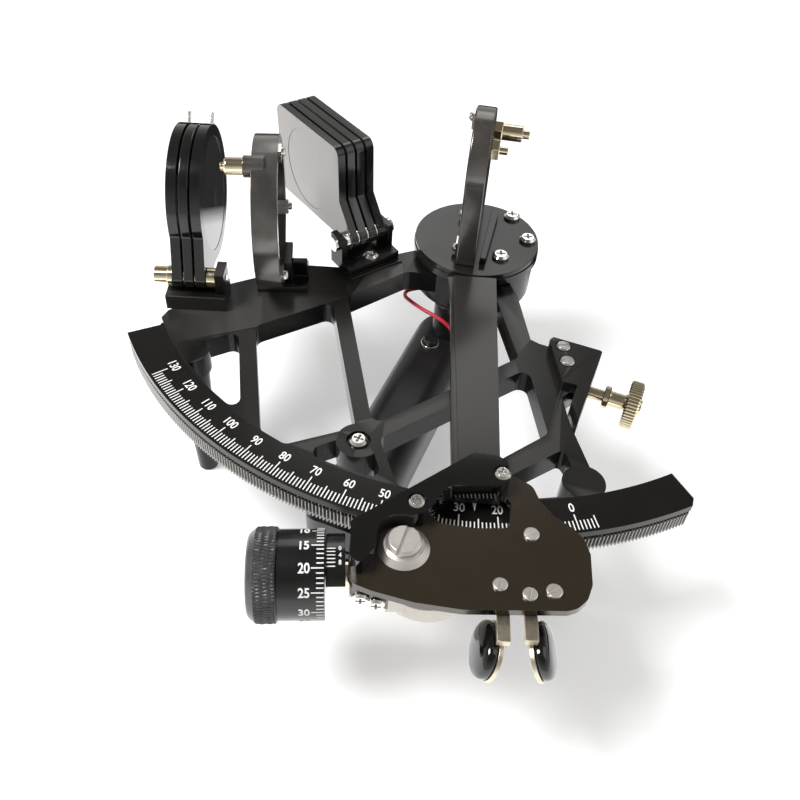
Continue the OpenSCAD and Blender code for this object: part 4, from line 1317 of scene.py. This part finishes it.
@dataclass
class Levers:
    """Release levers under the end plate with their domed pads."""

    length: float = 19.0
    width: float = 15.0
    thick: float = 4.8
    rim: float = 1.0
    flank: float = 0.8
    crown: float = 0.75
    rings: int = 26
    sides: int = 96
    pads: tuple[Pad, ...] = (Pad("left", (3.8, -200.6, -7.0), 1, 20.0),
                             Pad("right", (20.2, -199.6, -7.0), -1, 25.0))

    def dome(self, pad: Pad) -> None:
        """A domed oval pad: a long oval whose height falls off as a rounded power of the radius.

        Args:
            pad: The pad's place.
        """
        u = np.linspace(0, math.pi / 2, self.rings)
        v = np.linspace(0, 2 * math.pi, self.sides, endpoint=False)
        straight = (self.length - self.width) / 2
        radius = np.concatenate([np.sin(u) ** self.flank, [1.0, 0.94, 0.0]])
        height = np.concatenate([np.cos(u) ** self.crown * (self.thick - self.rim) + self.rim,
                                 [self.rim / 2, 0.0, 0.0]])
        oval = np.cos(v) * self.width / 2 + np.sign(np.round(np.cos(v), 6)) * straight
        y = radius[:, None] * oval[None, :]
        z = radius[:, None] * (np.sin(v) * self.width / 2)[None, :]
        x = -pad.out * np.repeat(height[:, None], self.sides, 1)
        a = math.radians(pad.out * pad.lean)
        c, s = math.cos(a), math.sin(a)
        points = np.stack([x * c + z * s, y, z * c - x * s], -1) + pad.at
        thing = make_mesh(f"release_pad_{pad.side}_dome", points.reshape(-1, 3),
                          ring_faces(len(radius), self.sides), ARM, 50.0)
        dress(thing, PAD, f"lever_{pad.side}", "grip_plastic", f"release_pad_{pad.side}")

    def build(self) -> None:
        """Makes the pads and dresses the levers."""
        for pad in self.pads:
            self.dome(pad)
        for pad in self.pads:
            soften(f"release_lever_{pad.side}", LEVER_METAL, 0.2)


@dataclass
class TelescopeBracket:
    """Bracket for a telescope with its knurled thumbscrew."""

    at: Triple = (70.8, -68.3, 70.0)
    stem: float = 2.4
    disc: float = 9.7
    teeth: int = 44
    flute_depth: float = 0.4
    flute_shape: float = 0.6
    flute_edge: float = 0.15
    sides: int = 352

    def flutes(self, x: np.ndarray, r: np.ndarray, t: np.ndarray) -> np.ndarray:
        """Straight grooves along the disc's rim: a wave round the axis that only lowers the radius.

        Args:
            x: Places along the axis; the grooves are the same at all of them.
            r: Radii.
            t: Angles.

        Returns:
            The changes of radius.
        """
        rim = (r > self.disc - self.flute_edge).astype(float)
        return -self.flute_depth * rim * (1 - np.abs(np.cos(self.teeth * t / 2)) ** self.flute_shape)

    def thumbscrew(self) -> None:
        """The thumbscrew as one turned solid with a fluted disc."""
        s, d = self.stem, self.disc
        profile = [(-4.3, 0), (-4.3, s - 0.5), (-3.8, s), (6.2, s), (6.2, 4.2), (6.5, 4.6), (8.3, 4.6),
                   (8.6, 4.3), (8.6, 3.3), (9.2, 3.1), (14.4, 3.1), (15.0, 3.6), (15.0, d - 0.9),
                   (15.7, d), (19.7, d), (20.4, d - 0.9), (20.4, 4.2), (20.0, 3.8), (20.0, 3.2),
                   (21.3, 2.9), (21.3, 0)]
        points, faces = turned(profile, self.sides, self.flutes)
        screw = make_mesh("telescope_thumbscrew_turned", points, faces, Place(self.at))
        dress(screw, BRASS, "thumbscrew", "gold_brass", "telescope_thumbscrew")

    def build(self) -> None:
        """Makes the thumbscrew and dresses the bracket."""
        soften("telescope_bracket", ENAMEL, 0.6)
        self.thumbscrew()


def main() -> None:
    """Builds the studio and every sub-assembly."""
    logging.basicConfig(level=logging.INFO, format="%(message)s")
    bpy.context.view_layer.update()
    Studio().build()
    for assembly in (Handle(), Arc(), FrameCasting(), HorizonGroup(), IndexShades(), IndexArm(), EndPlate(),
                     Micrometer(), Levers(), TelescopeBracket()):
        assembly.build()
        log.info("%s done", type(assembly).__name__)


if __name__ == "__main__":
    main()
